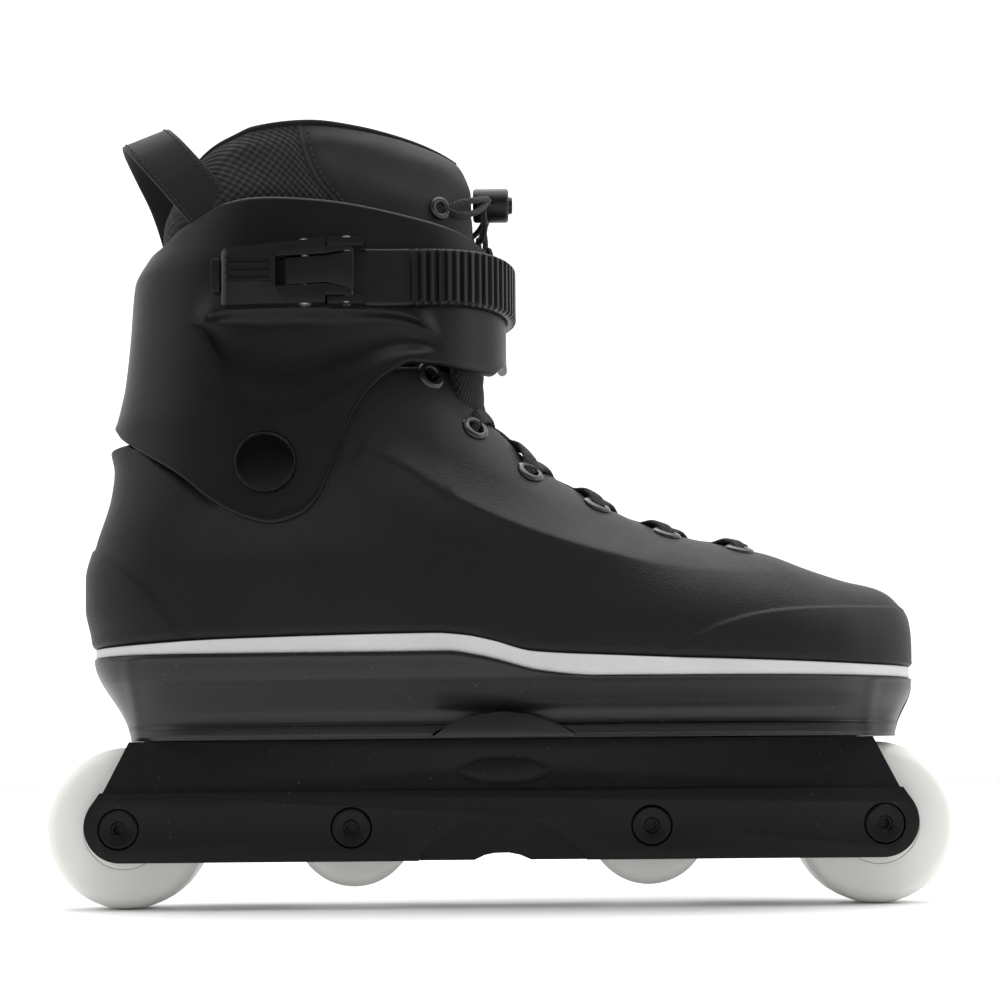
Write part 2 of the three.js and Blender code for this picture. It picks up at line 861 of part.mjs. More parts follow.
function buildShell() {
  const recessInset = cuffWall + cuffGap;
  let shell = loft(shellLevels, (angle, z) => shellPoint(angle, z), 28);
  shell = shell.intersect(between(shellSoleLine, 0, flat(150), 0));
  shell = shell.subtract(slab(scaled(shellRim), -70, 70));
  const cuffSpace = loft([60, 110, 125, 140], (a, z) => cuffPoint(a, z, recessInset), 28);
  shell = shell.subtract(slab(scaled(recessEdge), -70, 70).subtract(cuffSpace));
  shell = shell.subtract(layer(0).intersect(between(shellSoleLine, shellFloor, flat(160), 0)));
  shell = shell.subtract(prism(throat(throatHalfWidth), 46, 160));
  for (const [x, y] of eyelets) {
    for (const side of [-1, 1]) {
      shell = shell.subtract(uprightRod(eyeletRadius, 55, 150, along(x), side * y, 6));
    }
  }
  const barrel = pivotBarrelRadius + fitGap;
  shell = shell.subtract(rod(barrel, -60, 60, along(pivotX), pivotHeight));
  for (const side of [-1, 1]) {
    const [y0, y1] = [0, side * pivotSeat].sort((a, b) => a - b);
    shell = shell.subtract(rod(pivotNutRadius + fitGap, y0, y1, along(pivotX), pivotHeight));
  }
  return piece("boot_shell", shell, shellPlastic);
}

// ---------------------------------------------------------------- cuff and its pivots
const capSeat = cuffHalfWidth - 1.4;
const pivotSeat = capSeat - 5.3; // where the pivot nut's flange bears, from the middle
const pivotFlange = 2;
const pivotNutRadius = 9;

function buildCuff() {
  const levels = [70, 110, 125, 145, 164, 176, 190];
  const ring = loft(levels, (angle, z) => cuffPoint(angle, z), 28);
  const inside = loft([60, ...levels, 200], (angle, z) => cuffPoint(angle, z, cuffWall), 28);
  let cuff = ring.subtract(inside);
  const flapSplit = 5;
  const lateral = slab(scaled([...cuffLowEdge, ...cuffLateralTop]), -60, flapSplit);
  const medial = slab(scaled([...cuffLowEdge, ...cuffMedialTop]), flapSplit, 60);
  cuff = cuff.intersect(lateral.add(medial));
  cuff = cuff.subtract(block(along(-30), 20, flapSplit, flapSplit + 6, 60, 200));
  const x = along(pivotX);
  cuff = cuff.subtract(rod(pivotBarrelRadius + runGap, -60, 60, x, pivotHeight));
  for (const [y0, y1] of [
    [-60, -capSeat],
    [capSeat, 60],
  ]) {
    cuff = cuff.subtract(rod(pivotCapRadius + 1, y0, y1, x, pivotHeight, 16));
  }
  cuff = cuff.subtract(rod(screwRadius + runGap, -70, 0, buckleScrewX, strapHeight));
  cuff = cuff.subtract(rod(screwRadius + runGap, 0, 70, strapScrewX, strapHeight));
  return piece("cuff", cuff, shellPlastic);
}

function buildPivots() {
  const pieces = [];
  for (const [name, side] of [
    ["lateral", -1],
    ["medial", 1],
  ]) {
    const capInner = capSeat + fitGap;
    const cap = [
      [0, pivotSeat - 4],
      [3, pivotSeat - 4],
      [3, capInner],
      [pivotCapRadius, capInner],
      [pivotCapRadius, capInner + 2],
      [pivotCapRadius - 1.2, capInner + 3],
      [0, capInner + 3.4],
    ];
    const nut = [
      [3 + runGap, pivotSeat - pivotFlange - fitGap],
      [pivotNutRadius, pivotSeat - pivotFlange - fitGap],
      [pivotNutRadius, pivotSeat - fitGap],
      [pivotBarrelRadius, pivotSeat - fitGap],
      [pivotBarrelRadius, capSeat],
      [3 + runGap, capSeat],
    ];
    const mirrored = (profile) => turned(profile.map(([r, y]) => [r, side * y]), 16);
    const place = (profile) => solid(mirrored(profile).translate(along(pivotX), 0, pivotHeight));
    pieces.push(piece(`pivot_bolt_${name}`, place(cap), satinPlastic));
    pieces.push(piece(`pivot_nut_${name}`, place(nut), steel));
  }
  return pieces;
}

// ---------------------------------------------------------------- strap and buckle
const buckleMiddle = along(-70.5);
const buckleRear = buckleMiddle - 22.9;
const buckleFront = buckleMiddle + 22.9;
const buckleHalf = strapWidth / 2 + 0.8;
const baseFace = cuffHalfWidth + 3.4; // outer face of the buckle's base
const leverInner = baseFace + fitGap;
const leverOuter = leverInner + 5;
const hingePinX = buckleMiddle + 19.6;
const pawlPinX = buckleMiddle + 5.4;
const pinRadius = 1.5;
const screwRadius = 2.4;
const buckleScrewX = buckleMiddle - 13.5;
const strapScrewX = along(-56);

function buildStrap() {
  const offset = 0.5 + strapThickness / 2;
  const points = [];
  const steps = 22;
  // Round the front of the cuff, from under the buckle to the medial side.
  for (let i = 0; i <= steps; i += 1) {
    const angle = 0.56 * Math.PI + ((1.5 - 0.56) * Math.PI * i) / steps;
    const wrapped = angle > Math.PI ? angle - 2 * Math.PI : angle;
    const [x, y] = cuffPoint(wrapped, strapHeight, -offset);
    points.push(vector(x, y, strapHeight));
  }
  let strap = ribbon(points, strapThickness, strapWidth, UP, 30);
  strap = strap.subtract(rod(screwRadius + runGap, 0, 70, strapScrewX, strapHeight));
  const head = cuffHalfWidth + strapThickness + 1;
  return [
    piece("ladder_strap", strap, satinPlastic),
    piece("strap_screw", screw(1, strapScrewX, head), steel),
  ];
}

function buildBuckle() {
  const z0 = strapHeight - buckleHalf;
  const z1 = strapHeight + buckleHalf;
  const pieces = [];
  const cuffSolid = loft([130, 150, 170, 185], (a, z) => cuffPoint(a, z, -fitGap), 40);
  const strapSpace = loft([130, 185], (a) => cuffPoint(a, strapHeight, -0.5 - strapThickness - 0.4), 40);
  const tunnelLow = strapHeight - strapWidth / 2 - 0.2;
  const tunnelHigh = strapHeight + strapWidth / 2 + 0.2;
  // Base: a channel on the cuff, open at the front for the strap.
  let base = block(buckleRear, buckleFront, -baseFace, -30, z0, z1).subtract(cuffSolid);
  const tunnel = strapSpace.intersect(
    block(buckleMiddle + 4.5, buckleMiddle + 50.5, -60, 0, tunnelLow, tunnelHigh)
  );
  base = base.subtract(tunnel);
  const windowX = [buckleMiddle - 7.5, buckleMiddle + 12.5];
  const window = block(...windowX, -60, 0, strapHeight - 4, strapHeight + 4);
  base = base.subtract(window);
  base = base.subtract(rod(screwRadius + runGap, -70, 0, buckleScrewX, strapHeight));
  // Ears at both ends of the hinge pin.
  const earOuter = leverOuter - 0.8;
  const earWidth = 1.6;
  for (const [low, high] of [
    [z0 - earWidth, z0 + 0.4],
    [z1 - 0.4, z1 + earWidth],
  ]) {
    base = base.add(block(hingePinX - 3.3, hingePinX + 3.3, -earOuter, -baseFace + 1.5, low, high));
  }
  const pinY = -(leverInner + 2.6);
  const pinCut = uprightRod(pinRadius + runGap, z0 - 5, z1 + 5, hingePinX, pinY, 12);
  base = base.subtract(pinCut);
  pieces.push(piece("buckle_base", base, satinPlastic));
  // Lever: long handle hinged at its front end.
  const leverHalf = buckleHalf - 0.9;
  const leverZ = [strapHeight - leverHalf, strapHeight + leverHalf];
  const leverPlan = [
    [buckleRear + 0.6, -leverInner],
    [hingePinX + 1.2, -leverInner],
    [hingePinX + 2.7, -leverInner - 1.6],
    [hingePinX + 2.4, -leverOuter + 1],
    [hingePinX, -leverOuter],
    [buckleRear + 8, -leverOuter - 0.6],
    [buckleRear - 0.4, -leverOuter + 1.4],
  ];
  let lever = prism(leverPlan, ...leverZ);
  const pawlX = [buckleMiddle - 4.5, buckleMiddle + 10.5];
  const pawlZ = [strapHeight - 5, strapHeight + 5];
  lever = lever.subtract(block(pawlX[0] - 0.6, pawlX[1] + 0.6, -70, 0, pawlZ[0] - 0.5, pawlZ[1] + 0.5));
  lever = lever.subtract(uprightRod(pinRadius + runGap, z0 - 5, z1 + 5, hingePinX, pinY, 12));
  lever = lever.subtract(uprightRod(pinRadius + runGap, z0 - 5, z1 + 5, pawlPinX, pinY, 12));
  pieces.push(piece("buckle_lever", lever, satinPlastic));
  let pawl = block(...pawlX, -leverOuter + 0.6, -leverInner - 0.4, ...pawlZ);
  pawl = pawl.subtract(uprightRod(pinRadius + runGap, z0 - 5, z1 + 5, pawlPinX, pinY, 12));
  pieces.push(piece("buckle_pawl", pawl, satinPlastic));
  const pinReach = buckleHalf + earWidth + 0.5;
  const pin = (x, reach) =>
    solid(
      turned(
        [
          [0, -reach],
          [2.2, -reach],
          [2.2, -reach + 0.7],
          [pinRadius, -reach + 0.7],
          [pinRadius, reach - 0.7],
          [2.2, reach - 0.7],
          [2.2, reach],
          [0, reach],
        ],
        12
      )
        .rotateX(Math.PI / 2)
        .translate(x, pinY, strapHeight)
    );
  pieces.push(piece("buckle_pin_front", pin(hingePinX, pinReach + 0.6), steel));
  pieces.push(piece("buckle_pin_rear", pin(pawlPinX, leverHalf + 1), steel));
  // Spring-loaded tab behind the handle that frees the ratchet.
  const tab = block(buckleRear - 3.6, buckleRear - 0.6, -baseFace - 1.5, -baseFace + 4, z0 + 2, z1 - 2);
  const footY = [-baseFace + 3.9, -cuffHalfWidth + 2.4];
  const foot = block(buckleRear - 3.6, buckleRear - 0.6, ...footY, z0 + 6, z1 - 6);
  pieces.push(piece("buckle_release", tab.add(foot).subtract(cuffSolid), satinPlastic));
  pieces.push(piece("buckle_screw", screw(-1, buckleScrewX, baseFace), steel));
  return pieces;
}

// Screw through the cuff's wall.
function screw(side, x, face) {
  const inner = cuffHalfWidth - cuffWall - 0.5;
  const profile = [
    [0, inner],
    [screwRadius, inner],
    [screwRadius, face],
    [0, face],
  ];
  return solid(turned(profile.map(([r, y]) => [r, side * y]), 12).translate(x, 0, strapHeight));
}

// ---------------------------------------------------------------- soft inner boot
const linerThroat = 15;
const collarTop = [
  [-155, 205],
  [-112, 205],
  [-101, 209.5],
  [-86, 214.5],
  [-66, 215.5],
  [-47, 213.5],
  [-22, 207.7],
  [-12, 203],
  [-8, 200],
  [20, 198],
];
const collarRear = curve([
  [96, -132],
  [130, -130.5],
  [150, -128.5],
  [166, -127],
  [176, -121.3],
  [183, -120.8],
  [206, -111],
  [216, -106],
]);
const collarFront = curve([
  [96, -1.5],
  [165, -1.6],
  [180, -5.4],
  [190, -8],
  [201, -11],
  [209, -17],
  [216, -23],
]);
const collarWide = curve([
  [96, cuffHalfWidth - cuffWall - cuffGap],
  [166, cuffHalfWidth - cuffWall - cuffGap - 0.4],
  [186, cuffHalfWidth - 6],
  [206, cuffHalfWidth - 10],
  [216, cuffHalfWidth - 13],
]);

function collarPoint(angle, z, inset = 0) {
  const place = (a) => {
    const part = Math.cos(a);
    const x = (collarRear(z) + collarFront(z)) / 2 - ((collarFront(z) - collarRear(z)) / 2) * part;
    const side = Math.sin(a) > 0 ? -1 : 1;
    return [along(x), side * collarWide(z) * superArc(Math.abs(part), cuffPower)];
  };
  return insetPoint(place, angle, inset);
}

function buildLiner() {
  const pieces = [];
  const footTop = 98;
  const outer = layer(linerGap);
  const inner = layer(linerGap + linerWall);
  const floorBottom = shellFloor + linerGap;
  const sockFloor = 2.6;
  const envelope = outer.intersect(between(shellSoleLine, floorBottom, flat(footTop), 0));
  const space = inner.intersect(between(shellSoleLine, floorBottom + sockFloor, flat(160), 0));
  const sock = envelope.subtract(space);
  const strip = prism(throat(linerThroat - 4), 46, 160);
  const stripCut = prism(throat(linerThroat - 3), 46, 160);
  pieces.push(piece("liner_foot", sock.subtract(stripCut), fabric));
  pieces.push(piece("tongue", buildTongue(strip), fabric));
  const seat = floorBottom + sockFloor + fitGap;
  const bed = layer(linerGap + linerWall + linerGap);
  const padTop = seat + heelPadThickness;
  const padEnd = -62;
  const padBody = layer(linerGap + linerWall + 3);
  const pad = padBody.intersect(between(shellSoleLine, seat, shellSoleLine, padTop, -155, padEnd, 10));
  pieces.push(piece("heel_pad", pad, foam));
  const insole = bed.intersect(between(shellSoleLine, seat, shellSoleLine, padTop + insoleThickness));
  const padRoom = between(shellSoleLine, 0, shellSoleLine, padTop + fitGap, -155, padEnd + 1, 10);
  pieces.push(piece("insole", insole.subtract(padRoom), foam));
  // Collar and the upper part of the tongue turn with the cuff.
  const rim = slab(scaled([...collarBase, ...[...collarTop].reverse()]), -70, 70);
  const heights = [100, 130, 166, 176, 186, 206, 217];
  const collarOuter = loft(heights, (a, z) => collarPoint(a, z), 24);
  const collarInner = loft([96, ...heights, 222], (a, z) => collarPoint(a, z, linerWall), 22);
  const collar = collarOuter.subtract(collarInner).intersect(rim);
  const split = 17;
  const gap = block(along(-45), 30, -split - 0.7, split + 0.7, 90, 230);
  const front = block(along(-45), 30, -split, split, 140, 230);
  pieces.push(piece("liner_collar", collar.subtract(gap), fabric));
  pieces.push(piece("tongue_top", collar.intersect(front), fabric));
  return pieces;
}

// The collar starts above the shell's rim, with room for the cuff to lean.
const collarBase = [
  [-155, 113],
  [-112, 113],
  [-85, 121],
  [-50, 135],
  [-14, 147],
  [20, 149],
];

function buildTongue(strip) {
  const nose = block(along(-40), along(100), -40, 40, 40, 116);
  const skin = layer(linerGap + 0.2).subtract(layer(linerGap + linerWall));
  return skin.intersect(strip).intersect(nose);
}

function buildPullLoop() {
  // The loop lies in a plane across the boot that leans back; its width runs along `wide`.
  const wide = vector(0.905, 0, 0.426);
  const lean = vector(-0.5, 0, 0.866);
  const foot = vector(along(-103), 0, 184);
  const loopWidth = 17.5;
  const loopThickness = 1.8;
  const at = (y, rise) => foot.clone().addScaledVector(lean, rise).add(vector(0, y, 0));
  const points = [at(-33.2, 5), at(-31, 18), at(-20, 32), at(-6, 38.5), at(12, 33), at(26, 22), at(33.2, 5)];
  return piece("pull_loop", ribbon(points, loopThickness, loopWidth, wide, 20), webbing);
}

// ---------------------------------------------------------------- cord lock on the inner boot
const lockX = along(-3);
const lockZ = 195.8;
const lockRadius = 6.1;
const lockLength = 13;
const elasticRadius = 1.2;
const lockBack = lockX - 5.6;

function alongX(profile) {
  return solid(turned(profile, 14).rotateZ(-Math.PI / 2).translate(0, 0, lockZ));
}

function buildCordLock() {
  const front = lockBack + lockLength;
  const body = [
    [0, lockBack],
    [lockRadius - 1, lockBack],
    [lockRadius, lockBack + 1],
    [lockRadius, front - 0.8],
    [lockRadius - 0.8, front],
    [3.4, front],
    [3.4, lockBack + 1.8],
    [0, lockBack + 1.8],
  ];
  const cross = rod(elasticRadius + 0.8, -20, 20, lockX, lockZ, 12);
  const lock = alongX(body).subtract(cross);
  const plunger = alongX([
    [0, lockBack + 3.2],
    [3.1, lockBack + 3.2],
    [3.1, front + 1.5],
    [0, front + 1.5],
  ]).subtract(rod(elasticRadius + 1.3, -20, 20, lockX, lockZ, 12));
  const side = (sign) => {
    const start = sign < 0 ? 0.76 : -0.76;
    const points = [];
    for (const [turn, z] of [
      [0, 188],
      [0.07, 189.5],
      [0.13, 191.5],
    ]) {
      const angle = (start - sign * turn) * Math.PI;
      const [x, y] = collarPoint(angle, z, -elasticRadius - 0.6);
      points.push(vector(x, y, z));
    }
    points.push(vector(lockX, sign * 9.5, lockZ), vector(lockX, sign * 5, lockZ));
    return points;
  };
  const route = [...side(-1), ...side(1).reverse()];
  return [
    piece("cord_lock", lock, satinPlastic),
    piece("cord_lock_plunger", plunger, satinPlastic),
    piece("elastic_lace", cord(route, elasticRadius, 22), webbing),
  ];
}

// ---------------------------------------------------------------- boot lace
function buildLace() {
  const lift = laceThickness / 2 + 1.1;
  const slope = (spot) => {
    const step = 1.5;
    const dx = shellTop(spot.x + step, spot.y) - shellTop(spot.x - step, spot.y);
    const dy = shellTop(spot.x, spot.y + step) - shellTop(spot.x, spot.y - step);
    return vector(-dx / (2 * step), -dy / (2 * step), 1).normalize();
  };
  const rest = (x, y) => {
    const spot = vector(x, y, shellTop(x, y));
    return spot.addScaledVector(slope(spot), lift);
  };
  let lace = null;
  const add = (part) => {
    lace = lace ? lace.add(part) : part;
  };
  const strand = (from, to) => {
    const points = [];
    const steps = 8;
    for (let i = 0; i <= steps; i += 1) {
      const t = i / steps;
      points.push(rest(from[0] + (to[0] - from[0]) * t, from[1] + (to[1] - from[1]) * t));
    }
    add(ribbon(points, laceWidth, laceThickness, slope, 7));
  };
  const used = eyelets.slice(1).map(([x, y]) => [along(x), y]);
  for (let i = 0; i + 1 < used.length; i += 1) {
    for (const side of [-1, 1]) {
      strand([used[i][0], side * used[i][1]], [used[i + 1][0], -side * used[i + 1][1]]);
    }
  }
  const last = used[used.length - 1];
  strand([last[0], -last[1]], [last[0], last[1]]);
  return piece("lace", lace, webbing);
}

// ---------------------------------------------------------------- assembly
const skate = new THREE.Group();
skate.add(buildFrame());
axlePlaces.forEach((x, index) => skate.add(buildWheel(index, x)));

const boot = new THREE.Group();
boot.position.z = plateZ;
boot.add(...buildSole(), buildShell(), buildCuff(), ...buildPivots());
boot.add(...buildStrap(), ...buildBuckle(), ...buildLiner());
boot.add(buildPullLoop(), ...buildCordLock(), buildLace());
skate.add(boot);

// The origin is on the floor, under the middle of the whole skate.
const extent = new THREE.Box3().setFromObject(skate);
skate.position.y = -(extent.min.y + extent.max.y) / 2;

export default skate;
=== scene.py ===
"""Inline skate, right foot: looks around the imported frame.

Outlines are in millimetres with the wheels' plane at y = 0, as in the CAD source. +X is the toe,
-Y the outer side. Heights of the boot count from its underside.
"""

import math

import bmesh
import bpy
import numpy as np
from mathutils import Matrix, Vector


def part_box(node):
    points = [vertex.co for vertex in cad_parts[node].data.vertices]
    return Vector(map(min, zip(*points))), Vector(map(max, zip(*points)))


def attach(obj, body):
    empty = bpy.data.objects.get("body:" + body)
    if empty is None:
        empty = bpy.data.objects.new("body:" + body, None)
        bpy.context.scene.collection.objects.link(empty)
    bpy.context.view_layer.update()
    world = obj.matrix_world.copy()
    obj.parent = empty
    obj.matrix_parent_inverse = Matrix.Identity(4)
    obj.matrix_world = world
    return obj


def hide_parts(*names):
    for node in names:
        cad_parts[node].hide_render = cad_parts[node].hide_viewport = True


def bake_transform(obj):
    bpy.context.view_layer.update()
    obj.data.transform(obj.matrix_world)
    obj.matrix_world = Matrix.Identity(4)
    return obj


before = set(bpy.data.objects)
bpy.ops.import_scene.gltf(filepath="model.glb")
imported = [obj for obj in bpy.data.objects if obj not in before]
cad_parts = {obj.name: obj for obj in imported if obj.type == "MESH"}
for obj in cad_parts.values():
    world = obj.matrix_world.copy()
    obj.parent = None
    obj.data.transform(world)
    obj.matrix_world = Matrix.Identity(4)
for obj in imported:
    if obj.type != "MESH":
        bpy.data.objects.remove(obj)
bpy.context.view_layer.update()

MM = 0.001
wheel_low, wheel_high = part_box("tyre_rear")
WHEEL_PLANE = (wheel_low.y + wheel_high.y) / 2 / MM  # y of the wheels' plane in the row frame
AXLE_Z = (wheel_low.z + wheel_high.z) / 2 / MM
BOOT_Z = 60.0  # underside of the boot
AXLES = (-134.4, -52.7, 52.7, 134.4)
BOOT_REAR, BOOT_FRONT, BOOT_LENGTH = -149, 149, 298
HEEL_ROUND = 42  # how far forward the heel's rounding reaches
WIDEST = 30  # height where the shell is widest
POWER = 2.2  # of the superellipses that round the boot
PIVOT = (-79.5, 94.3)
STRAP_Z, STRAP_WIDTH, RIB_PITCH = 157.5, 20, 3.3
CUFF_WALL = 4.1  # room that the shell leaves for the cuff, with its clearance
WELD = 0.004  # points closer than this become one


# ---------------------------------------------------------------- curves
def curve(pairs):
    """Smooth curve through (input, output) pairs, without overshoot."""
    xs, ys = np.array(pairs, float).T
    d = np.diff(ys) / np.diff(xs)
    m = np.zeros(len(xs))
    product = d[:-1] * d[1:]
    total = np.where(product > 0, d[:-1] + d[1:], 1)
    m[1:-1] = np.where(product > 0, 2 * product / total, 0)

    def at(v):
        v = np.clip(np.asarray(v, float), xs[0], xs[-1])
        i = np.clip(np.searchsorted(xs, v, side="left") - 1, 0, len(xs) - 2)
        h = xs[i + 1] - xs[i]
        t = (v - xs[i]) / h
        start = ys[i] * (1 + 2 * t) * (1 - t) ** 2 + m[i] * h * t * (1 - t) ** 2
        return start + ys[i + 1] * t * t * (3 - 2 * t) + m[i + 1] * h * t * t * (t - 1)

    return at


def smooth(low, high, value):
    t = np.clip((value - low) / (high - low), 0, 1)
    return t * t * (3 - 2 * t)


def arc(t, power=POWER):
    """Quarter of a superellipse: 1 at t = 0, falling to 0 at t = 1."""
    return (1 - np.clip(t, 0, 1) ** power) ** (1 / power)


rear_line = curve([(20, -146), (36, -146.8), (48, -149), (58, -149), (71, -145.7), (88, -140.4),
                   (97, -139.3), (106, -140.7), (140, -134)])
ridge_line = curve([(-60, 300), (-40, 215), (-30, 175), (-22, 150), (-14.5, 130), (-6, 118.5),
                    (2.5, 110), (10, 102), (22, 93.5), (37, 84.5), (51, 77.5), (66, 72.5),
                    (80, 69.3), (95, 66), (110, 60.5), (124, 56), (134, 53.8), (139, 51.8),
                    (143, 48.5), (146, 44.5), (148, 39), (149, 30)])
lateral_plan = curve([(-149, 37), (-105, 37), (-75, 38.5), (-40, 39.5), (0, 43.5), (40, 48.5),
                      (70, 50), (95, 48), (115, 42), (130, 33.5), (140, 24.5), (146, 14), (149, 0)])
medial_plan = curve([(-149, 37), (-105, 37), (-75, 37.5), (-40, 37), (0, 40), (40, 47), (70, 51),
                     (95, 50), (115, 44.5), (130, 35), (140, 25), (146, 14), (149, 0)])
shell_sole = curve([(-150, 33), (-92, 35.2), (-24, 36.3), (-14, 35.5), (-4.6, 33.6), (10.5, 29.5),
                    (36, 27.9), (71, 26.4), (150, 24.5)])
midsole_low = curve([(-150, 29.6), (-20, 29.7), (-6.9, 27.6), (12.6, 22.5), (31, 20.7), (150, 20.4)])
shell_rim = curve([(-160, 106), (-134, 106), (-128, 103), (-112, 104), (-100, 108), (-85, 115),
                   (-50, 127), (-14, 131.5), (40, 133)])
recess_edge = curve([(-160, 104.8), (-132.5, 104.8), (-115.5, 93.9), (-104.2, 85.1), (-95.6, 78.5),
                     (-86.3, 72.7), (-76, 70.4), (-66, 72), (-57.6, 77.4), (-53.4, 83),
                     (-51.5, 92), (-46, 105), (-38, 114), (-25, 120), (40, 121)])
cuff_rear = curve([(70, -139.2), (110, -139.2), (118.7, -137.3), (127.4, -135.4), (145, -133.4),
                   (164, -131.8), (175.5, -125.5), (190, -119.5)])
cuff_front = curve([(70, 3.2), (168, 3.2), (190, -1.5)])
cuff_wide = curve([(70, 47), (130, 46.5), (165, 47), (190, 48)])
cuff_low = curve([(-150, 112), (-139, 112), (-133.5, 106.4), (-110, 90.9), (-99, 82), (-88, 75.8),
                  (-78, 73.2), (-68, 75.8), (-61.6, 82), (-57.5, 91.2), (-50.2, 109.5), (-45, 118.1),
                  (-36.8, 125.4), (-28.7, 128.3), (-10.4, 128.3), (-2, 128.6), (3, 133.5), (10, 134)])
cuff_top_lateral = curve([(-150, 174), (-128, 174), (-119.6, 175), (-110.9, 179.6), (-102.4, 183.3),
                          (-94.4, 185.9), (-85.6, 186.7), (-61.8, 185.1), (-31.5, 180.7),
                          (-13.3, 177.7), (-7, 175), (-3, 170), (1, 168), (10, 167.5)])
cuff_top_medial = curve([(-150, 174), (-128, 174), (-119.6, 175), (-102.4, 183.3), (-85.6, 186.7),
                         (-61.8, 185.1), (-31.5, 184), (0, 184), (10, 180)])
collar_rear = curve([(96, -132), (130, -130.5), (150, -128.5), (166, -127), (176, -121.3),
                     (183, -120.8), (206, -111), (216, -106)])
collar_front = curve([(96, -1.5), (165, -1.6), (180, -5.4), (190, -8), (201, -11), (209, -17),
                      (216, -23)])
collar_wide = curve([(96, 42.9), (166, 42.5), (186, 41), (206, 37), (216, 34)])
collar_rim = curve([(-155, 205), (-112, 206), (-107, 208), (-101, 210.2), (-93, 212.4), (-86, 214.3),
                    (-66, 215.3), (-47, 213.3), (-33, 210.8), (-22, 207.7), (-12, 202.5),
                    (-8, 200), (20, 198)])
collar_base = curve([(-155, 113), (-112, 113), (-85, 121), (-50, 135), (-14, 147), (20, 149)])
throat_half = curve([(-60, 13), (-14, 12), (20, 9), (85, 8), (89, 6.2), (91.3, 3), (92, 0), (150, 0)])


# ---------------------------------------------------------------- mesh helpers
def mesh_object(name, points, faces, weld=0.0):
    """An object from points in millimetres."""
    p = np.array(points, float).reshape(-1, 3)
    p[:, 1] += WHEEL_PLANE
    data = bpy.data.meshes.new(name)
    data.from_pydata((p * MM).tolist(), [], faces)
    bm = bmesh.new()
    bm.from_mesh(data)
    if weld:
        bmesh.ops.remove_doubles(bm, verts=bm.verts, dist=weld * MM)
        bmesh.ops.dissolve_degenerate(bm, dist=1e-7, edges=bm.edges)
    bmesh.ops.recalc_face_normals(bm, faces=bm.faces)
    bm.to_mesh(data)
    bm.free()
    piece = bpy.data.objects.new(name, data)
    bpy.context.scene.collection.objects.link(piece)
    return piece


def add(name, points, faces, body, slot, look, stands_for=(), sharp=40.0, weld=WELD):
    """A finished piece from points in millimetres."""
    piece = mesh_object(name, points, faces, weld)
    finish_piece(piece, body, slot, look, stands_for, sharp)
    return piece


def finish_piece(piece, body, slot, look, stands_for=(), sharp=40.0):
    for polygon in piece.data.polygons:
        polygon.use_smooth = True
    piece.data.set_sharp_from_angle(angle=math.radians(sharp))
    piece.data.materials.clear()
    piece.data.materials.append(look)
    if body:
        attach(piece, body)
    if stands_for:
        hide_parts(*stands_for)


def grid_faces(columns, rows, start=0, closed=False, flip=False):
    faces = []
    for i in range(columns if closed else columns - 1):
        a, b = start + i * rows, start + ((i + 1) % columns) * rows
        for j in range(rows - 1):
            quad = (a + j, b + j, b + j + 1, a + j + 1)
            faces.append(quad[::-1] if flip else quad)
    return faces


def grid_normals(p, closed):
    if closed:
        du = np.roll(p, -1, 0) - np.roll(p, 1, 0)
    else:
        du = np.gradient(p, axis=0)
    dv = np.gradient(p, axis=1)
    n = np.cross(du, dv)
    length = np.linalg.norm(n, axis=2, keepdims=True)
    n = n / np.maximum(length, 1e-9)
    for j in (0, -1):
        weak = length[:, j, 0] < 1e-6
        n[weak, j] = n[weak, j + (1 if j == 0 else -1)]
    return n


def run_length(p, axis):
    """Distance of each grid point from both ends along an axis of the grid."""
    step = np.linalg.norm(np.diff(p, axis=axis), axis=2)
    zero = np.zeros_like(np.take(step, [0], axis=axis))
    low = np.concatenate([zero, np.cumsum(step, axis=axis)], axis=axis)
    return low, np.take(low, [-1], axis=axis) - low


def thick(outer, n, wall, closed, open_top=None, radius=None, skip=3):
    """Points and faces of a sheet behind the grid `outer`, with rounded edges. n are the grid's
    normals, radius that of the edges, and the inside has one row for each `skip` rows outside.
    open_top marks columns whose last row meets its mirror image and stays square."""
    wall = np.broadcast_to(np.asarray(wall, float), outer.shape[:2])
    middle, half = outer - n * wall[..., None] / 2, wall / 2
    r = radius or float(np.max(half))

    def fade(d):
        return np.sqrt(np.clip(1 - (1 - np.clip(d / r, 0, 1)) ** 2, 0, 1))

    low, high = run_length(outer, 1)
    top = fade(high)
    if open_top is not None:
        top[open_top] = 1
    shape = np.minimum(fade(low), top)
    if not closed:
        left, right = run_length(outer, 0)
        shape = np.minimum(shape, np.minimum(fade(left), fade(right)))
    h = (half * shape)[..., None]
    columns, rows = outer.shape[:2]
    keep = sorted({*range(6), *range(6, rows - 6, skip), *range(rows - 6, rows)})
    inner = (middle - n * h)[:, keep]
    points = np.concatenate([(middle + n * h).reshape(-1, 3), inner.reshape(-1, 3)])
    base, inner_rows = columns * rows, len(keep)
    faces = grid_faces(columns, rows, 0, closed)
    faces += grid_faces(columns, inner_rows, base, closed, flip=True)
    for i in range(columns if closed else columns - 1):
        k = (i + 1) % columns
        outer_i, outer_k = i * rows, k * rows
        inner_i, inner_k = base + i * inner_rows, base + k * inner_rows
        faces.append((outer_i, inner_i, inner_k, outer_k))
        if open_top is None or not (open_top[i] and open_top[k]):
            last, inner_last = rows - 1, inner_rows - 1
            faces.append((outer_i + last, outer_k + last, inner_k + inner_last, inner_i + inner_last))
    return points, faces


def closed_grid(x, y, z):
    """Points and faces of a body over a closed ring of columns."""
    points = np.stack(np.broadcast_arrays(x, y, z), 2)
    return points.reshape(-1, 3), grid_faces(*points.shape[:2], 0, True)


def unit(vectors):
    return vectors / np.linalg.norm(vectors, axis=-1, keepdims=True)


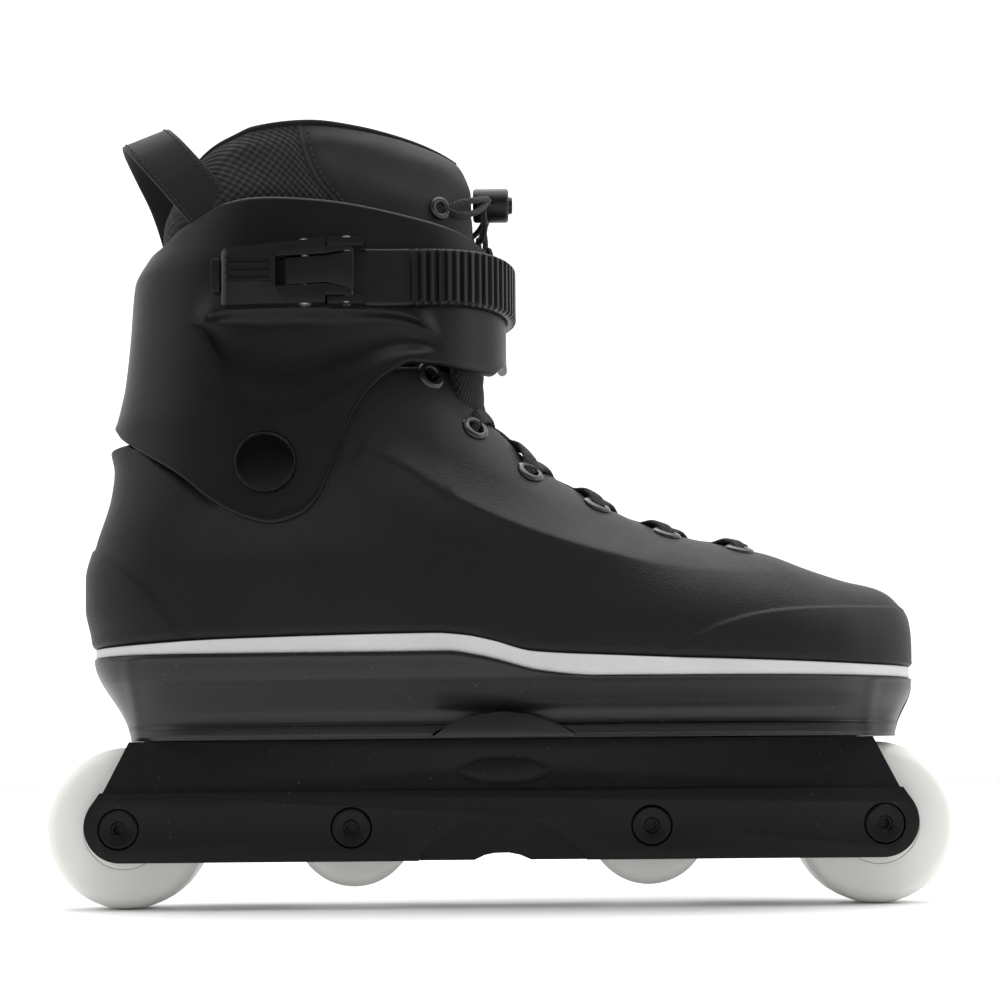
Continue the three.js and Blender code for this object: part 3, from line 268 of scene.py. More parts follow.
def facing(n, agreement):
    """Normals, turned round where most of them disagree with the way out."""
    return -n if np.median(agreement) < 0 else n


def raised(points, faces):
    """The same shape, from heights that count from the boot's underside."""
    p = np.array(points, float).reshape(-1, 3)
    p[:, 2] += BOOT_Z
    return p, faces


def even(place, start, stop, count, dense=4000):
    """Parameters of points an equal distance apart along place(parameter)."""
    t = np.linspace(start, stop, dense)
    x, y = place(t)
    s = np.concatenate([[0], np.cumsum(np.hypot(np.diff(x), np.diff(y)))])
    return np.interp(np.linspace(0, s[-1], count), s, t)


def rows_with_edges(count, share):
    """Row positions from 0 to 1, closer together within `share` of both ends."""
    close = np.array([0, 0.03, 0.12, 0.28, 0.5, 0.75]) * share
    return np.concatenate([close, np.linspace(share, 1 - share, count), 1 - close[::-1]])


def lathe(profile, place, segments=96, axis="y"):
    """Turned body from (radius, height) pairs, closed at radius 0 or as a ring."""
    profile = [(r, h) for r, h in profile]
    ring = profile[0][0] > 0
    angles = np.arange(segments) * 2 * math.pi / segments
    points, faces, index = [], [], []
    for r, h in profile:
        index.append((len(points), r == 0))
        for a in angles if r > 0 else [0]:
            u, v = r * math.cos(a), r * math.sin(a)
            local = {"x": (h, u, v), "y": (u, h, v), "z": (u, v, h)}[axis]
            points.append([local[k] + place[k] for k in range(3)])
    pairs = list(zip(index, index[1:] + (index[:1] if ring else [])))
    for (a, a_point), (b, b_point) in pairs:
        for i in range(segments):
            k = (i + 1) % segments
            if a_point and b_point:
                continue
            if a_point:
                faces.append((a, b + k, b + i))
            elif b_point:
                faces.append((a + i, a + k, b))
            else:
                faces.append((a + i, a + k, b + k, b + i))
    return points, faces


def round_corners(profile, radius, steps=5, closed=False):
    """Polyline with its corners rounded."""
    p = np.array(profile, float)
    count, out = len(p), []
    for i in range(count):
        if not closed and i in (0, count - 1):
            out.append(p[i])
            continue
        a, b, c = p[i - 1], p[i], p[(i + 1) % count]
        r = radius[i] if np.ndim(radius) else radius
        la, lc = np.linalg.norm(a - b), np.linalg.norm(c - b)
        cut = min(r, 0.45 * la, 0.45 * lc)
        if cut < 0.01:
            out.append(b)
            continue
        start, stop = b + (a - b) / la * cut, b + (c - b) / lc * cut
        for t in np.linspace(0, 1, steps):
            out.append((1 - t) ** 2 * start + 2 * t * (1 - t) * b + t * t * stop)
    return np.array(out)


def prism_mesh(outline, low, high, axis="y"):
    """Flat-ended body over an outline; axis is the way it is pushed."""
    p = np.array(outline, float)
    area = np.sum(p[:, 0] * np.roll(p[:, 1], -1) - np.roll(p[:, 0], -1) * p[:, 1])
    if area < 0:
        p = p[::-1]
    n = len(p)
    order = {"y": lambda a, b, h: (a, h, b), "z": lambda a, b, h: (a, b, h),
             "x": lambda a, b, h: (h, a, b)}[axis]
    points = [order(a, b, h) for h in (low, high) for a, b in p]
    faces = [tuple(range(n))[::-1], tuple(range(n, 2 * n))]
    faces += [(i, (i + 1) % n, n + (i + 1) % n, n + i) for i in range(n)]
    return points, faces


def box_mesh(x0, x1, y0, y1, z0, z1):
    return prism_mesh([(x0, z0), (x1, z0), (x1, z1), (x0, z1)], y0, y1)


def scratch(points, faces):
    """A helper solid for cutting and joining."""
    return mesh_object("scratch", points, faces)


def boolean(piece, helpers, operation="DIFFERENCE"):
    """Cuts the helpers from a piece, or joins them to it, and removes them."""
    for helper in helpers:
        modifier = piece.modifiers.new("cut", "BOOLEAN")
        modifier.operation = operation
        modifier.object = helper
        modifier.solver = "MANIFOLD"
    bake(piece)
    for helper in helpers:
        data = helper.data
        bpy.data.objects.remove(helper)
        bpy.data.meshes.remove(data)


def bake(piece):
    """Applies every modifier of a piece."""
    shown = bpy.context.evaluated_depsgraph_get()
    data = bpy.data.meshes.new_from_object(piece.evaluated_get(shown))
    piece.modifiers.clear()
    piece.data = data


def bevel(piece, width, segments=3, angle=30):
    modifier = piece.modifiers.new("bevel", "BEVEL")
    modifier.width = width * MM
    modifier.segments = segments
    modifier.limit_method = "ANGLE"
    modifier.angle_limit = math.radians(angle)
    modifier.harden_normals = False
    bake(piece)


def solid_piece(name, base, body, slot, look, stands_for=(), joins=(), cuts=(), edge=0.4,
                segments=3, sharp=40.0):
    """A moulded piece: a base solid, joined and cut, with its edges rounded."""
    piece = mesh_object(name, *base)
    if joins:
        boolean(piece, [scratch(*j) for j in joins], "UNION")
    if cuts:
        boolean(piece, [scratch(*c) for c in cuts])
    if edge:
        bevel(piece, edge, segments)
    finish_piece(piece, body, slot, look, stands_for, sharp)
    return piece


def turned(node, profile, place, body, slot, look, segments, axis="y", radius=0.3, steps=3, ring=True):
    """Turned piece that stands for a CAD node, with rounded corners."""
    rounded = round_corners(profile, radius, steps, ring)
    add(f"{node}_turned", *lathe(rounded, place, segments, axis), body, slot, look, [node])


# ---------------------------------------------------------------- materials
def new_material(name):
    look = bpy.data.materials.new(name)
    look.use_nodes = True
    return look, look.node_tree, look.node_tree.nodes["Principled BSDF"]


def connect(tree, target, sockets):
    """Gives each named socket of a node its value or its link."""
    for name, value in sockets.items():
        if isinstance(value, bpy.types.NodeSocket):
            tree.links.new(value, target.inputs[name])
        else:
            target.inputs[name].default_value = value


def node(tree, kind, output, sockets, **settings):
    """The named output of a new node."""
    made = tree.nodes.new("ShaderNode" + kind)
    for name, value in settings.items():
        setattr(made, name, value)
    connect(tree, made, sockets)
    return made.outputs[output]


def noise(tree, place, scale, detail=2.0):
    return node(tree, "TexNoise", "Fac", {"Vector": place, "Scale": scale, "Detail": detail})


def calc(tree, operation, *values):
    return node(tree, "Math", "Value", dict(enumerate(values)), operation=operation)


def split(tree, vector):
    parts = tree.nodes.new("ShaderNodeSeparateXYZ")
    tree.links.new(vector, parts.inputs["Vector"])
    return [parts.outputs[axis] for axis in "XYZ"]


def bump(tree, source, height, below=None):
    """Normal of a bump that is `height` millimetres high, laid over another one."""
    sockets = {"Height": source, "Distance": height * MM, "Strength": 1.0}
    if below is not None:
        sockets["Normal"] = below
    return node(tree, "Bump", "Normal", sockets)


def two_tone(tree, source, dark, light, start=0.0, stop=1.0):
    """Colour that goes from dark to light while the source goes from start to stop."""
    ramp = tree.nodes.new("ShaderNodeValToRGB")
    for element, position, color in zip(ramp.color_ramp.elements, (start, stop), (dark, light)):
        element.position = position
        element.color = (*color, 1)
    tree.links.new(source, ramp.inputs["Fac"])
    return ramp.outputs["Color"]


def plastic(name, color, roughness, grain=(), uneven=0.06, blotch=0.12, coat=0.0, metallic=0.0,
            scuffs=0.0, scatter=0.0, sheen=0.0, speckle=0.0, shine=0.3):
    """Colour with slight blotches, uneven gloss and bumps. grain is (scale, height in mm, kind)."""
    look, tree, shader = new_material(name)
    place = node(tree, "TexCoord", "Object", {})
    paint = two_tone(tree, noise(tree, place, 38.0, 4.0), [c * (1 - blotch) for c in color],
                     [min(1, c * (1 + blotch)) for c in color], 0.3, 0.7)
    if speckle:
        pick = node(tree, "MapRange", "Result", {"Value": noise(tree, place, 900.0, 1.0), "From Min": 0.76,
                                                 "From Max": 0.82, "To Max": speckle})
        paint = node(tree, "Mix", "Result", {"Factor": pick, "A": paint, "B": (0.35, 0.35, 0.35, 1)},
                     data_type="RGBA")
    gloss = node(tree, "MapRange", "Result", {"Value": noise(tree, place, 120.0, 6.0),
                                              "To Min": max(0.02, roughness - uneven),
                                              "To Max": min(1.0, roughness + uneven)})
    connect(tree, shader, {"Base Color": paint, "Roughness": gloss, "Metallic": metallic,
                           "Specular IOR Level": shine, "Coat Weight": coat, "Coat Roughness": 0.2})
    if sheen:
        connect(tree, shader, {"Sheen Weight": sheen, "Sheen Roughness": 0.5})
    if scatter:
        connect(tree, shader, {"Subsurface Weight": scatter, "Subsurface Scale": 1.0,
                               "Subsurface Radius": (0.006, 0.0055, 0.0045)})
    normal = None
    for scale, height, kind in [*grain, *([(1.6, scuffs, "scuff")] if scuffs else [])]:
        if kind == "leather":
            source = node(tree, "TexVoronoi", "Distance", {"Vector": place, "Scale": scale},
                          feature="SMOOTH_F1")
        elif kind == "scuff":
            streaks = node(tree, "Mapping", "Vector", {"Vector": place, "Scale": (40, 200, 600),
                                                       "Rotation": (0, 0.25, 0)})
            source = noise(tree, streaks, scale, 5.0)
        else:
            source = noise(tree, place, scale, 3.0)
        normal = bump(tree, source, height, normal)
    if normal is not None:
        connect(tree, shader, {"Normal": normal})
    return look


def woven(name, color, pitch, height, kind="plain", roughness=0.85, sheen=0.3, dark=0.35):
    """Cloth whose cells are about `pitch` millimetres across, from its place on the object. kind
    is plain, knit (taller cells) or braid (cells set aslant)."""
    look, tree, shader = new_material(name)
    place = node(tree, "TexCoord", "Object", {})
    x, y, z = split(tree, place)
    turn = 2 * math.pi / (pitch * MM)

    def times(a, b):
        return calc(tree, "MULTIPLY", a, b)

    def wave(operation, a, b):
        return calc(tree, "SINE", calc(tree, operation, a, b))

    if kind == "braid":
        u = times(calc(tree, "ADD", x, times(z, 0.7)), turn)
        v = times(calc(tree, "SUBTRACT", y, times(z, 0.3)), turn)
        weave = calc(tree, "MAXIMUM", wave("ADD", u, v), wave("SUBTRACT", u, v))
    else:
        along = wave("MULTIPLY", calc(tree, "ADD", x, y), turn)
        weave = times(along, wave("MULTIPLY", z, turn * (0.75 if kind == "knit" else 1.0)))
    level = node(tree, "MapRange", "Result", {"Value": weave, "From Min": -0.9, "From Max": 1.0})
    fuzz = noise(tree, place, 2600.0)
    rough = node(tree, "MapRange", "Result", {"Value": fuzz, "To Min": roughness - 0.1,
                                              "To Max": min(1.0, roughness + 0.1)})
    connect(tree, shader, {"Base Color": two_tone(tree, level, [c * dark for c in color], color),
                           "Roughness": rough, "Sheen Weight": sheen, "Sheen Roughness": 0.6,
                           "Specular IOR Level": 0.2,
                           "Normal": bump(tree, level, height, bump(tree, fuzz, 0.06))})
    return look


LEATHER = [(1500.0, 0.10, "leather"), (5200.0, 0.03, "fine")]
SUEDE = [(2200.0, 0.03, "leather"), (6000.0, 0.02, "fine")]
FOAM = [(900.0, 0.12, "fine"), (3000.0, 0.05, "fine")]
SATIN = [(3500.0, 0.018, "fine")]
shell_look = plastic("shell_moulded", (0.0047, 0.0048, 0.0051), 0.5, LEATHER, blotch=0.18, shine=0.2)
cuff_look = plastic("cuff_moulded", (0.0036, 0.0037, 0.004), 0.4, [(4200.0, 0.02, "fine")],
                    blotch=0.15, shine=0.17)
sole_look = plastic("sole_moulded", (0.007, 0.007, 0.0073), 0.33, SATIN, scuffs=0.05, speckle=0.25,
                    shine=0.34)
frame_look = plastic("frame_nylon", (0.0045, 0.0049, 0.0055), 0.46, [(2600.0, 0.03, "fine")],
                     blotch=0.2, speckle=0.15, shine=0.16)
satin_look = plastic("satin_nylon", (0.0045, 0.0045, 0.0048), 0.38, SATIN, shine=0.22)
cap_look = plastic("cap_satin", (0.0012, 0.0012, 0.0013), 0.26, SATIN, shine=0.1)
midsole_look = plastic("midsole_foam", (0.51, 0.515, 0.52), 0.62, FOAM, blotch=0.05)
urethane_look = plastic("urethane", (0.74, 0.74, 0.71), 0.36, [(1200.0, 0.02, "fine")], blotch=0.02,
                        scatter=0.35)
core_look = plastic("core_moulded", (0.70, 0.695, 0.665), 0.4, SATIN, blotch=0.03)
steel_look = plastic("bright_steel", (0.62, 0.63, 0.65), 0.25, [(6000.0, 0.006, "fine")], metallic=1.0)
black_steel_look = plastic("black_steel", (0.006, 0.006, 0.0063), 0.36, [(5000.0, 0.012, "fine")],
                           metallic=0.6)
eyelet_look = plastic("eyelet_enamel", (0.008, 0.008, 0.0085), 0.32, [(5000.0, 0.01, "fine")], coat=0.3)
smooth_look = plastic("liner_suede", (0.0055, 0.0055, 0.0058), 0.62, SUEDE, sheen=0.04, shine=0.22)
knit_look = woven("spacer_mesh", (0.017, 0.017, 0.0175), 2.3, 0.45, "knit", dark=0.1, sheen=0.03)
webbing_look = woven("webbing", (0.008, 0.008, 0.0085), 0.7, 0.10, sheen=0.06)
lace_look = woven("lace_braid", (0.011, 0.011, 0.0115), 1.5, 0.28, "braid", sheen=0.08)
thread_look = woven("thread", (0.02, 0.02, 0.021), 0.4, 0.04, sheen=0.1)
foam_look = woven("footbed_cloth", (0.045, 0.045, 0.047), 0.9, 0.08)


# ---------------------------------------------------------------- wheels
BEARING_SEAT, BEARING_BORE = 11.06, 4  # radii
SHOULDER, SHOULDER_HALF = 9.6, 4.7  # ring in the hub that keeps the bearings apart
WHEEL_HALF = 12.0
HEAD_FACE = -23.4  # outer face of the axle heads


def wheel_profile(outer, inner, band, half=WHEEL_HALF):
    """Half section of a tyre: flat band, rounded shoulders, flat sides."""
    corners = [(inner, -half), (outer - 6.5, -half), (outer - 3.6, -half + 0.25),
               (outer - 1.5, -half * 0.84), (outer - 0.45, -half * 0.66), (outer, -band)]
    corners += [(r, -y) for r, y in corners[::-1]]
    return round_corners(corners, 2.0, 6)


def build_wheel(number, place, body, outer_wheel, name):
    bore = [(BEARING_SEAT, SHOULDER_HALF), (SHOULDER, SHOULDER_HALF), (SHOULDER, -SHOULDER_HALF),
            (BEARING_SEAT, -SHOULDER_HALF)]
    if outer_wheel:
        add(f"tyre_{name}_turned", *lathe(wheel_profile(29, 14.62, 5.5), place, 144), body, "urethane",
            urethane_look, [f"tyre_{name}"])
        hub = [(BEARING_SEAT, -WHEEL_HALF), (14.5, -WHEEL_HALF), (14.5, WHEEL_HALF),
               (BEARING_SEAT, WHEEL_HALF), *bore]
        turned(f"hub_{name}", hub, place, body, "core_plastic", core_look, 96, radius=0.35, steps=4)
    else:
        profile = [*wheel_profile(21.5, BEARING_SEAT, 7), *bore]
        add(f"antirocker_{name}_turned", *lathe(profile, place, 128), body, "urethane", urethane_look,
            [f"antirocker_{name}"])
    shield = 0.7
    for side, letter in ((-1, "lateral"), (1, "medial")):
        y0, y1 = sorted((5 * side, 12 * side))
        race = [(BEARING_BORE, y0), (5.6, y0), (6, y0 + shield), (9.2, y0 + shield), (9.6, y0), (11, y0),
                (11, y1), (9.6, y1), (9.2, y1 - shield), (6, y1 - shield), (5.6, y1), (BEARING_BORE, y1)]
        turned(f"bearing_{number}_{letter}", race, place, body, "steel", steel_look, 64, radius=0.25)
    tube = [(BEARING_BORE, -SHOULDER_HALF), (6, -SHOULDER_HALF), (6, SHOULDER_HALF),
            (BEARING_BORE, SHOULDER_HALF)]
    turned(f"bearing_spacer_{number}", tube, place, body, "steel", steel_look, 48)


def build_axle(number, place):
    """Bolt with a sunk head, a shallow dish and a hexagon socket, and its sleeve nut."""
    face, socket = HEAD_FACE, 2.05
    bolt = [(0, face + 1.2), (2.4, face + 1.2), (2.9, face + 0.35), (5.6, face + 0.1), (6.3, face),
            (7, face + 0.8), (7, -18.6), (3.78, -18.6), (3.78, 21), (0, 21)]
    hexagon = [(place[0] + socket * math.cos(k * math.pi / 3), AXLE_Z + socket * math.sin(k * math.pi / 3))
               for k in range(6)]
    solid_piece(f"axle_bolt_{number}_turned", lathe(round_corners(bolt, 0.3, 4), place, 72), "root",
                "black_steel", black_steel_look, [f"axle_bolt_{number}"],
                cuts=[prism_mesh(hexagon, -30, face + 4)], edge=0)
    nut = [(3.9, 13.3), (6.2, 13.3), (6.2, 18.6), (7, 18.6), (7, 22.6), (6.2, 23.4), (3.9, 23.4)]
    turned(f"axle_nut_{number}", nut, place, "root", "black_steel", black_steel_look, 72, steps=4)


for index, x in enumerate(AXLES):
    build_wheel(index + 1, (x, 0, AXLE_Z), f"wheel_{index + 1}", index in (0, 3),
                "rear" if index < 2 else "front")
    build_axle(index + 1, (x, 0, AXLE_Z))


# ---------------------------------------------------------------- frame
STEP_Z = AXLE_Z + 12.8
FRAME_TOP = BOOT_Z - 0.3
DISH = (1.2, 49.2)  # middle of the plain oval dish on each upper panel


def circle(cx, cz, r, start, stop, steps):
    t = np.linspace(start * math.pi, stop * math.pi, steps)
    return [(cx + r * math.cos(a), cz + r * math.sin(a)) for a in t]


def oval(wide, tall):
    return [(DISH[0] + wide * math.cos(a), DISH[1] + tall * math.sin(a))
            for a in np.linspace(0, 2 * math.pi, 48, False)]


def build_frame():
    lower = [(-141.0, STEP_Z), *circle(-133.8, AXLE_Z + 0.9, 12.7, 0.82, 1.5, 22),
             *circle(133.8, AXLE_Z + 0.9, 12.7, 1.5, 2.18, 22), (141.0, STEP_Z)]
    upper = [(-140.8, STEP_Z - 1), (140.8, STEP_Z - 1), (131.0, FRAME_TOP), (-131.0, FRAME_TOP)]
    arch = [(-31.5, 11), (-28.3, 19.6), (-24.6, 23.2), (-19.4, 26.9), (-12.6, 30.4), (-6, 32.0), (0, 32.4),
            (6, 32.0), (13.2, 30.4), (20.2, 26.9), (25.4, 23.2), (28.9, 19.6), (32, 11)]
    notch = [(-10.8, 11), (-9.9, 17.1), (-6, 18.9), (-2.5, 19.6), (2.5, 19.7), (6.5, 18.9), (10.6, 17.1),
             (11.4, 11)]
    cuts, inlays = [], []
    for side in (-1, 1):
        def outwards(near, far, side=side):
            return sorted((side * near, side * far))

        cuts.append(box_mesh(*outwards(29.5, 180), -13, 13, -5, 52.2))  # channel of the wheels
        cuts.append(box_mesh(*outwards(104.4, 180), -13, 13, 0, 70))  # well of an outer wheel
        cuts.append(lathe([(0, 50), (4.3, 50), (4.3, 62), (0, 62)], (side * 82.5, 0, 0), 40, "z"))
        cuts.append(prism_mesh(arch, *outwards(18.2, 30)))
        cuts.append(prism_mesh(oval(17.2, 5.5), *outwards(19.9, 30)))
        inlays.append(prism_mesh(oval(13.6, 3.6), *outwards(18, 20.8)))
    cuts.append(prism_mesh(notch, -30, 30))
    for x in AXLES:
        for r, y0, y1 in ((6.6, 0, 30), (4.2, -30, 1), (7.3, -30, -18.3), (7.3, 18.3, 30)):
            cuts.append(lathe([(0, y0), (r, y0), (r, y1), (0, y1)], (x, 0, AXLE_Z), 56))
    piece = mesh_object("frame_moulded", *prism_mesh(lower, -23, 23))
    boolean(piece, [scratch(*prism_mesh(upper, -21, 21))], "UNION")
    boolean(piece, [scratch(*cut) for cut in cuts])
    boolean(piece, [scratch(*inlay) for inlay in inlays], "UNION")
    bevel(piece, 0.7, 3, 35)
    finish_piece(piece, "root", "frame_plastic", frame_look, ["frame"])


build_frame()


# ---------------------------------------------------------------- sole
def boot_x(a):
    return BOOT_REAR + BOOT_LENGTH * (1 - np.cos(a)) / 2


def plan_at(x, side):
    """Half width of the boot on the side that the sign of `side` gives."""
    return np.where(np.asarray(side) < 0, lateral_plan(x), medial_plan(x))


def sole_ring(count):
    """Angles round a sole layer and their side: heel, outer side, toe, inner side."""

    def place(a):
        x = boot_x(a)
        return x, lateral_plan(x) * arc(1 - (x - BOOT_REAR) / HEEL_ROUND)

    a = even(place, 0, math.pi, count)
    return np.concatenate([a, a[-2:0:-1]]), np.concatenate([-np.ones(count), np.ones(count - 2)])


def sole_layer(a, side, rear, front, share):
    """Grid of points of a sole layer: rear, front and share are arrays or numbers."""
    x = boot_x(a)
    heel = arc(1 - (x - BOOT_REAR) / HEEL_ROUND)
    return rear + (front - rear) * (1 - np.cos(a)) / 2, side * plan_at(x, side) * heel * share


plate_rear = curve([(0, -133.5), (4.5, -134.5), (29, -146.3)])
plate_front = curve([(0, 143), (4.5, 144), (18, 149.2), (29, 149.2)])
plate_share = curve([(0, 0.79), (1.2, 0.812), (4.2, 0.812), (4.8, 0.79), (5.6, 0.785), (9, 0.80),
                     (12, 0.85), (16, 0.93), (19, 0.985), (21, 1.02), (30, 1.03)])
ring_a, ring_side = (v[:, None] for v in sole_ring(230))


def build_plate():
    side_t = np.concatenate([[0, 0.01, 0.03], np.linspace(0.05, 0.93, 44), [0.955, 0.975, 0.99, 1]])
    inward = np.array([0.0, 0.35, 0.7, 0.92, 0.985])
    t = np.concatenate([np.zeros(5), side_t, np.ones(5)])[None, :]
    pull = np.concatenate([inward, np.ones(len(side_t)), inward[::-1]])[None, :]
    z = t * (midsole_low(boot_x(ring_a)) - 0.3)
    x, y = sole_layer(ring_a, ring_side, plate_rear(z), plate_front(z), plate_share(z) * pull)
    # Two upright creases, a slight hollow in the flank and a lip under the midsole.
    crest = np.exp(-(((x + 129) / 2.4) ** 2)) + np.exp(-(((x - 129) / 2.4) ** 2))
    crest = crest * 0.7 * (1 - smooth(0.93, 1, t)) * smooth(0, 0.06, t)
    flank = 0.9 * smooth(0.0, 0.12, t) * (1 - smooth(0.9, 1.0, t)) * np.exp(-(((t - 0.5) / 0.28) ** 2))
    lip = np.exp(-(((t - 0.965) / 0.03) ** 2)) * 0.35
    y = y + np.sign(y) * (crest - flank + lip) * pull
    return closed_grid(x, y, z + BOOT_Z)


add("soul_plate_moulded", *build_plate(), "root", "satin_plastic", sole_look, ["soul_plate"], weld=0.01)

slide = [(-25, 0.1), (-24.4, 1.6), (-19.2, 4.6), (-14, 6.6), (-8, 8.2), (0, 9.1)]
slide += [(-px, pz) for px, pz in slide[-2::-1]]
arches = [prism_mesh([(px + 1, pz + BOOT_Z) for px, pz in slide], *sorted((s * 31, s * 38.1)))
          for s in (-1, 1)]
solid_piece("backslide_moulded", box_mesh(-23, 25, -38.1, 38.1, BOOT_Z + 0.1, BOOT_Z + 1.8), "root",
            "satin_plastic", sole_look, ["backslide_plate"], joins=arches, edge=0.45)


def build_midsole():
    side_t = np.concatenate([[0, 0.04, 0.1], np.linspace(0.18, 0.82, 12), [0.9, 0.96, 1]])
    bulge = np.sqrt(np.clip(1 - (2 * side_t - 1) ** 6, 0, 1))
    inward = np.array([0.0, 0.4, 0.8])
    t = np.concatenate([np.zeros(3), side_t, np.ones(3)])[None, :]
    share = np.concatenate([inward, 0.985 + 0.022 * bulge, inward[::-1]])[None, :]
    low, high = midsole_low(boot_x(ring_a)), shell_sole(boot_x(ring_a)) - 0.25
    x, y = sole_layer(ring_a, ring_side, -145.8, 148.4, share)
    return closed_grid(x, y, low + (high - low) * t + BOOT_Z)


add("midsole_moulded", *build_midsole(), "root", "midsole_foam", midsole_look, ["midsole"], weld=0.01)

for name, x in (("rear", -82.5), ("front", 82.5)):
    place = (x, 0, BOOT_Z)
    bolt = [(0, -12.4), (2.6, -12.4), (2.6, -13.1), (5.6, -13.1), (6.5, -12.2), (6.5, -8.1), (4, -8.1),
            (4, 15), (0, 15)]
    turned(f"frame_bolt_{name}", bolt, place, "root", "black_steel", black_steel_look, 48, "z", ring=False)
    nut = [(4.12, 6.3), (6, 6.3), (6, 14.5), (4.12, 14.5)]
    turned(f"frame_nut_{name}", nut, place, "root", "steel", steel_look, 48, "z")


# ---------------------------------------------------------------- shell
crease_line = curve([(-60, 106), (-52.5, 102.3), (-47.4, 99.8), (-33.7, 93.6), (-22, 86.2), (-4.4, 77.0),
                     (13.2, 69.6), (36.7, 62), (60.6, 57.5), (85.1, 56.3), (110.9, 56.2)])
cap_line = curve([(40, 8), (55, 25), (58.9, 29.5), (65.3, 33.5), (77.1, 38.7), (89.3, 41.8), (102, 43.3),
                  (121.9, 44.4), (140, 45.2), (150, 45.5)])
counter_line = curve([(-150, 70), (-144, 67.9), (-135, 63), (-129, 58.2), (-122.9, 52.8), (-117.3, 46),
                      (-111.9, 38.5), (-104, 26)])


def shell_grid(count, t, rim, low_add=0.0, throat_add=0.0, recess=True):
    """Outer skin of the shell as columns from sole to rim or ridge, and which columns meet on top."""

    def place(a):
        rear = rear_line(60)
        x = rear + (BOOT_FRONT - rear) * (1 - np.cos(a)) / 2
        height = arc(WIDEST / (ridge_line(x) - WIDEST))
        return x, lateral_plan(x) * height * arc(1 - (x - rear) / HEEL_ROUND)

    a = even(place, 0.0, math.pi, count)
    side = np.concatenate([-np.ones(count), np.ones(count - 2)])[:, None]
    s = (1 - np.cos(np.concatenate([a, a[-2:0:-1]])))[:, None] / 2
    t = np.asarray(t)[None, :]
    z = np.full((len(s), t.shape[1]), 60.0)

    def turn(level, ridge):
        q = np.clip((level - WIDEST) / (ridge - WIDEST), -1, 1)
        return np.sign(q) * np.arcsin(np.abs(q) ** (POWER / 2))

    for _ in range(26):
        rear = rear_line(z)
        x = rear + (BOOT_FRONT - rear) * s
        ridge = np.maximum(ridge_line(x), WIDEST + 0.5)
        plan = plan_at(x, side)
        half = np.where(throat_half(x) > 0, throat_half(x) + throat_add, 0)
        first = turn(shell_sole(x) + low_add, ridge)
        last = turn(np.minimum(rim(x), ridge), ridge)
        open_turn = np.arccos(np.clip(half / np.maximum(plan, 0.01), 0, 1) ** (POWER / 2))
        last = np.minimum(last, open_turn)
        phi = first + (last - first) * t
        new = WIDEST + (ridge - WIDEST) * np.sign(phi) * np.abs(np.sin(phi)) ** (2 / POWER)
        z = 0.4 * z + 0.6 * new
    narrow = np.where(phi > 0, np.abs(np.cos(phi)) ** (2 / POWER), 1)
    ankle = 6 * np.exp(-(((x - PIVOT[0]) / 38) ** 2)) * smooth(60, 95, z)
    y = side * (plan + ankle) * narrow * arc(1 - (x - rear) / HEEL_ROUND)
    closed_top = throat_half(x[:, -1]) <= 0
    y[closed_top, -1] = 0
    if recess:
        w = smooth(-0.2, 1.9, z - recess_edge(x) + 0.8)
        front, back = cuff_front(z) - CUFF_WALL, cuff_rear(z) + CUFF_WALL
        mid, reach = (front + back) / 2, (front - back) / 2
        f = (np.abs(x - mid) / reach) ** POWER + (np.abs(y) / (cuff_wide(z) - CUFF_WALL)) ** POWER
        k = np.where(f > 1, np.maximum(f, 1) ** (-1 / POWER), 1)
        x, y = mid + (x - mid) * (1 + (k - 1) * w), y * (1 + (k - 1) * w)
    return np.stack([x, y, z], 2), closed_top


def shell_normals(p, closed_top):
    """Outward normals; where both sides meet on the ridge they lie in the middle plane."""
    n = grid_normals(p, True)
    agreement = np.sign(np.sum(n[:, 3:8, 1] * np.sign(p[:, 3:8, 1]), axis=1))
    n = facing(n, agreement[agreement != 0])
    x = p[closed_top, -1, 0]
    slope = ridge_line(x + 0.5) - ridge_line(x - 0.5)
    n[closed_top, -1] = np.stack([-slope, 0 * x, 1 + 0 * x], 1) / np.hypot(slope, 1)[:, None]
    return n


def shell_detail(p):
    """How far moulded lines stand out of the smooth skin."""
    x, z = p[..., 0], p[..., 2]
    away = z - crease_line(x)
    tent = np.clip(1 - np.sqrt(away ** 2 + 0.35) / 15, 0, 1) ** 2
    crease = 2.9 * tent * smooth(-58, -52, x) * (0.3 + 0.7 * smooth(-50, -28, x))
    crease = crease * (1 - 0.75 * smooth(30, 70, x)) * (1 - smooth(85, 112, x))
    cap = 0.6 * smooth(-0.6, 0.6, cap_line(x) - z)
    counter = 0.65 * smooth(-0.6, 0.6, counter_line(x) - z)
    fade = 1 - smooth(-5.0, -0.5, z - recess_edge(x))
    return (crease + cap + counter) * fade


def shell_top(x, y):
    return WIDEST + (ridge_line(x) - WIDEST) * arc(np.abs(y) / plan_at(x, y))


def top_normal(x, y):
    step = 1.0
    dx = (shell_top(x + step, y) - shell_top(x - step, y)) / (2 * step)
    dy = (shell_top(x, y + step) - shell_top(x, y - step)) / (2 * step)
    n = np.array([-float(dx), -float(dy), 1.0])
    return n / np.linalg.norm(n)


def turned_on(profile, centre, normal, segments=48):
    """Turned body whose axis is `normal`, standing at `centre`."""
    points, faces = lathe(profile, (0, 0, 0), segments, "z")
    n = np.array(normal, float)
    u = np.cross(n, [0, 0, 1] if abs(n[2]) < 0.9 else [1, 0, 0])
    u /= np.linalg.norm(u)
    v = np.cross(n, u)
    p = np.array(points)
    return np.array(centre) + p[:, :1] * u + p[:, 1:2] * v + p[:, 2:] * n, faces


EYELETS = [(-23.6, 27.4), (-8.2, 22.9), (11.1, 22), (34.8, 19.4), (59.4, 19.2), (85.3, 18.5)]


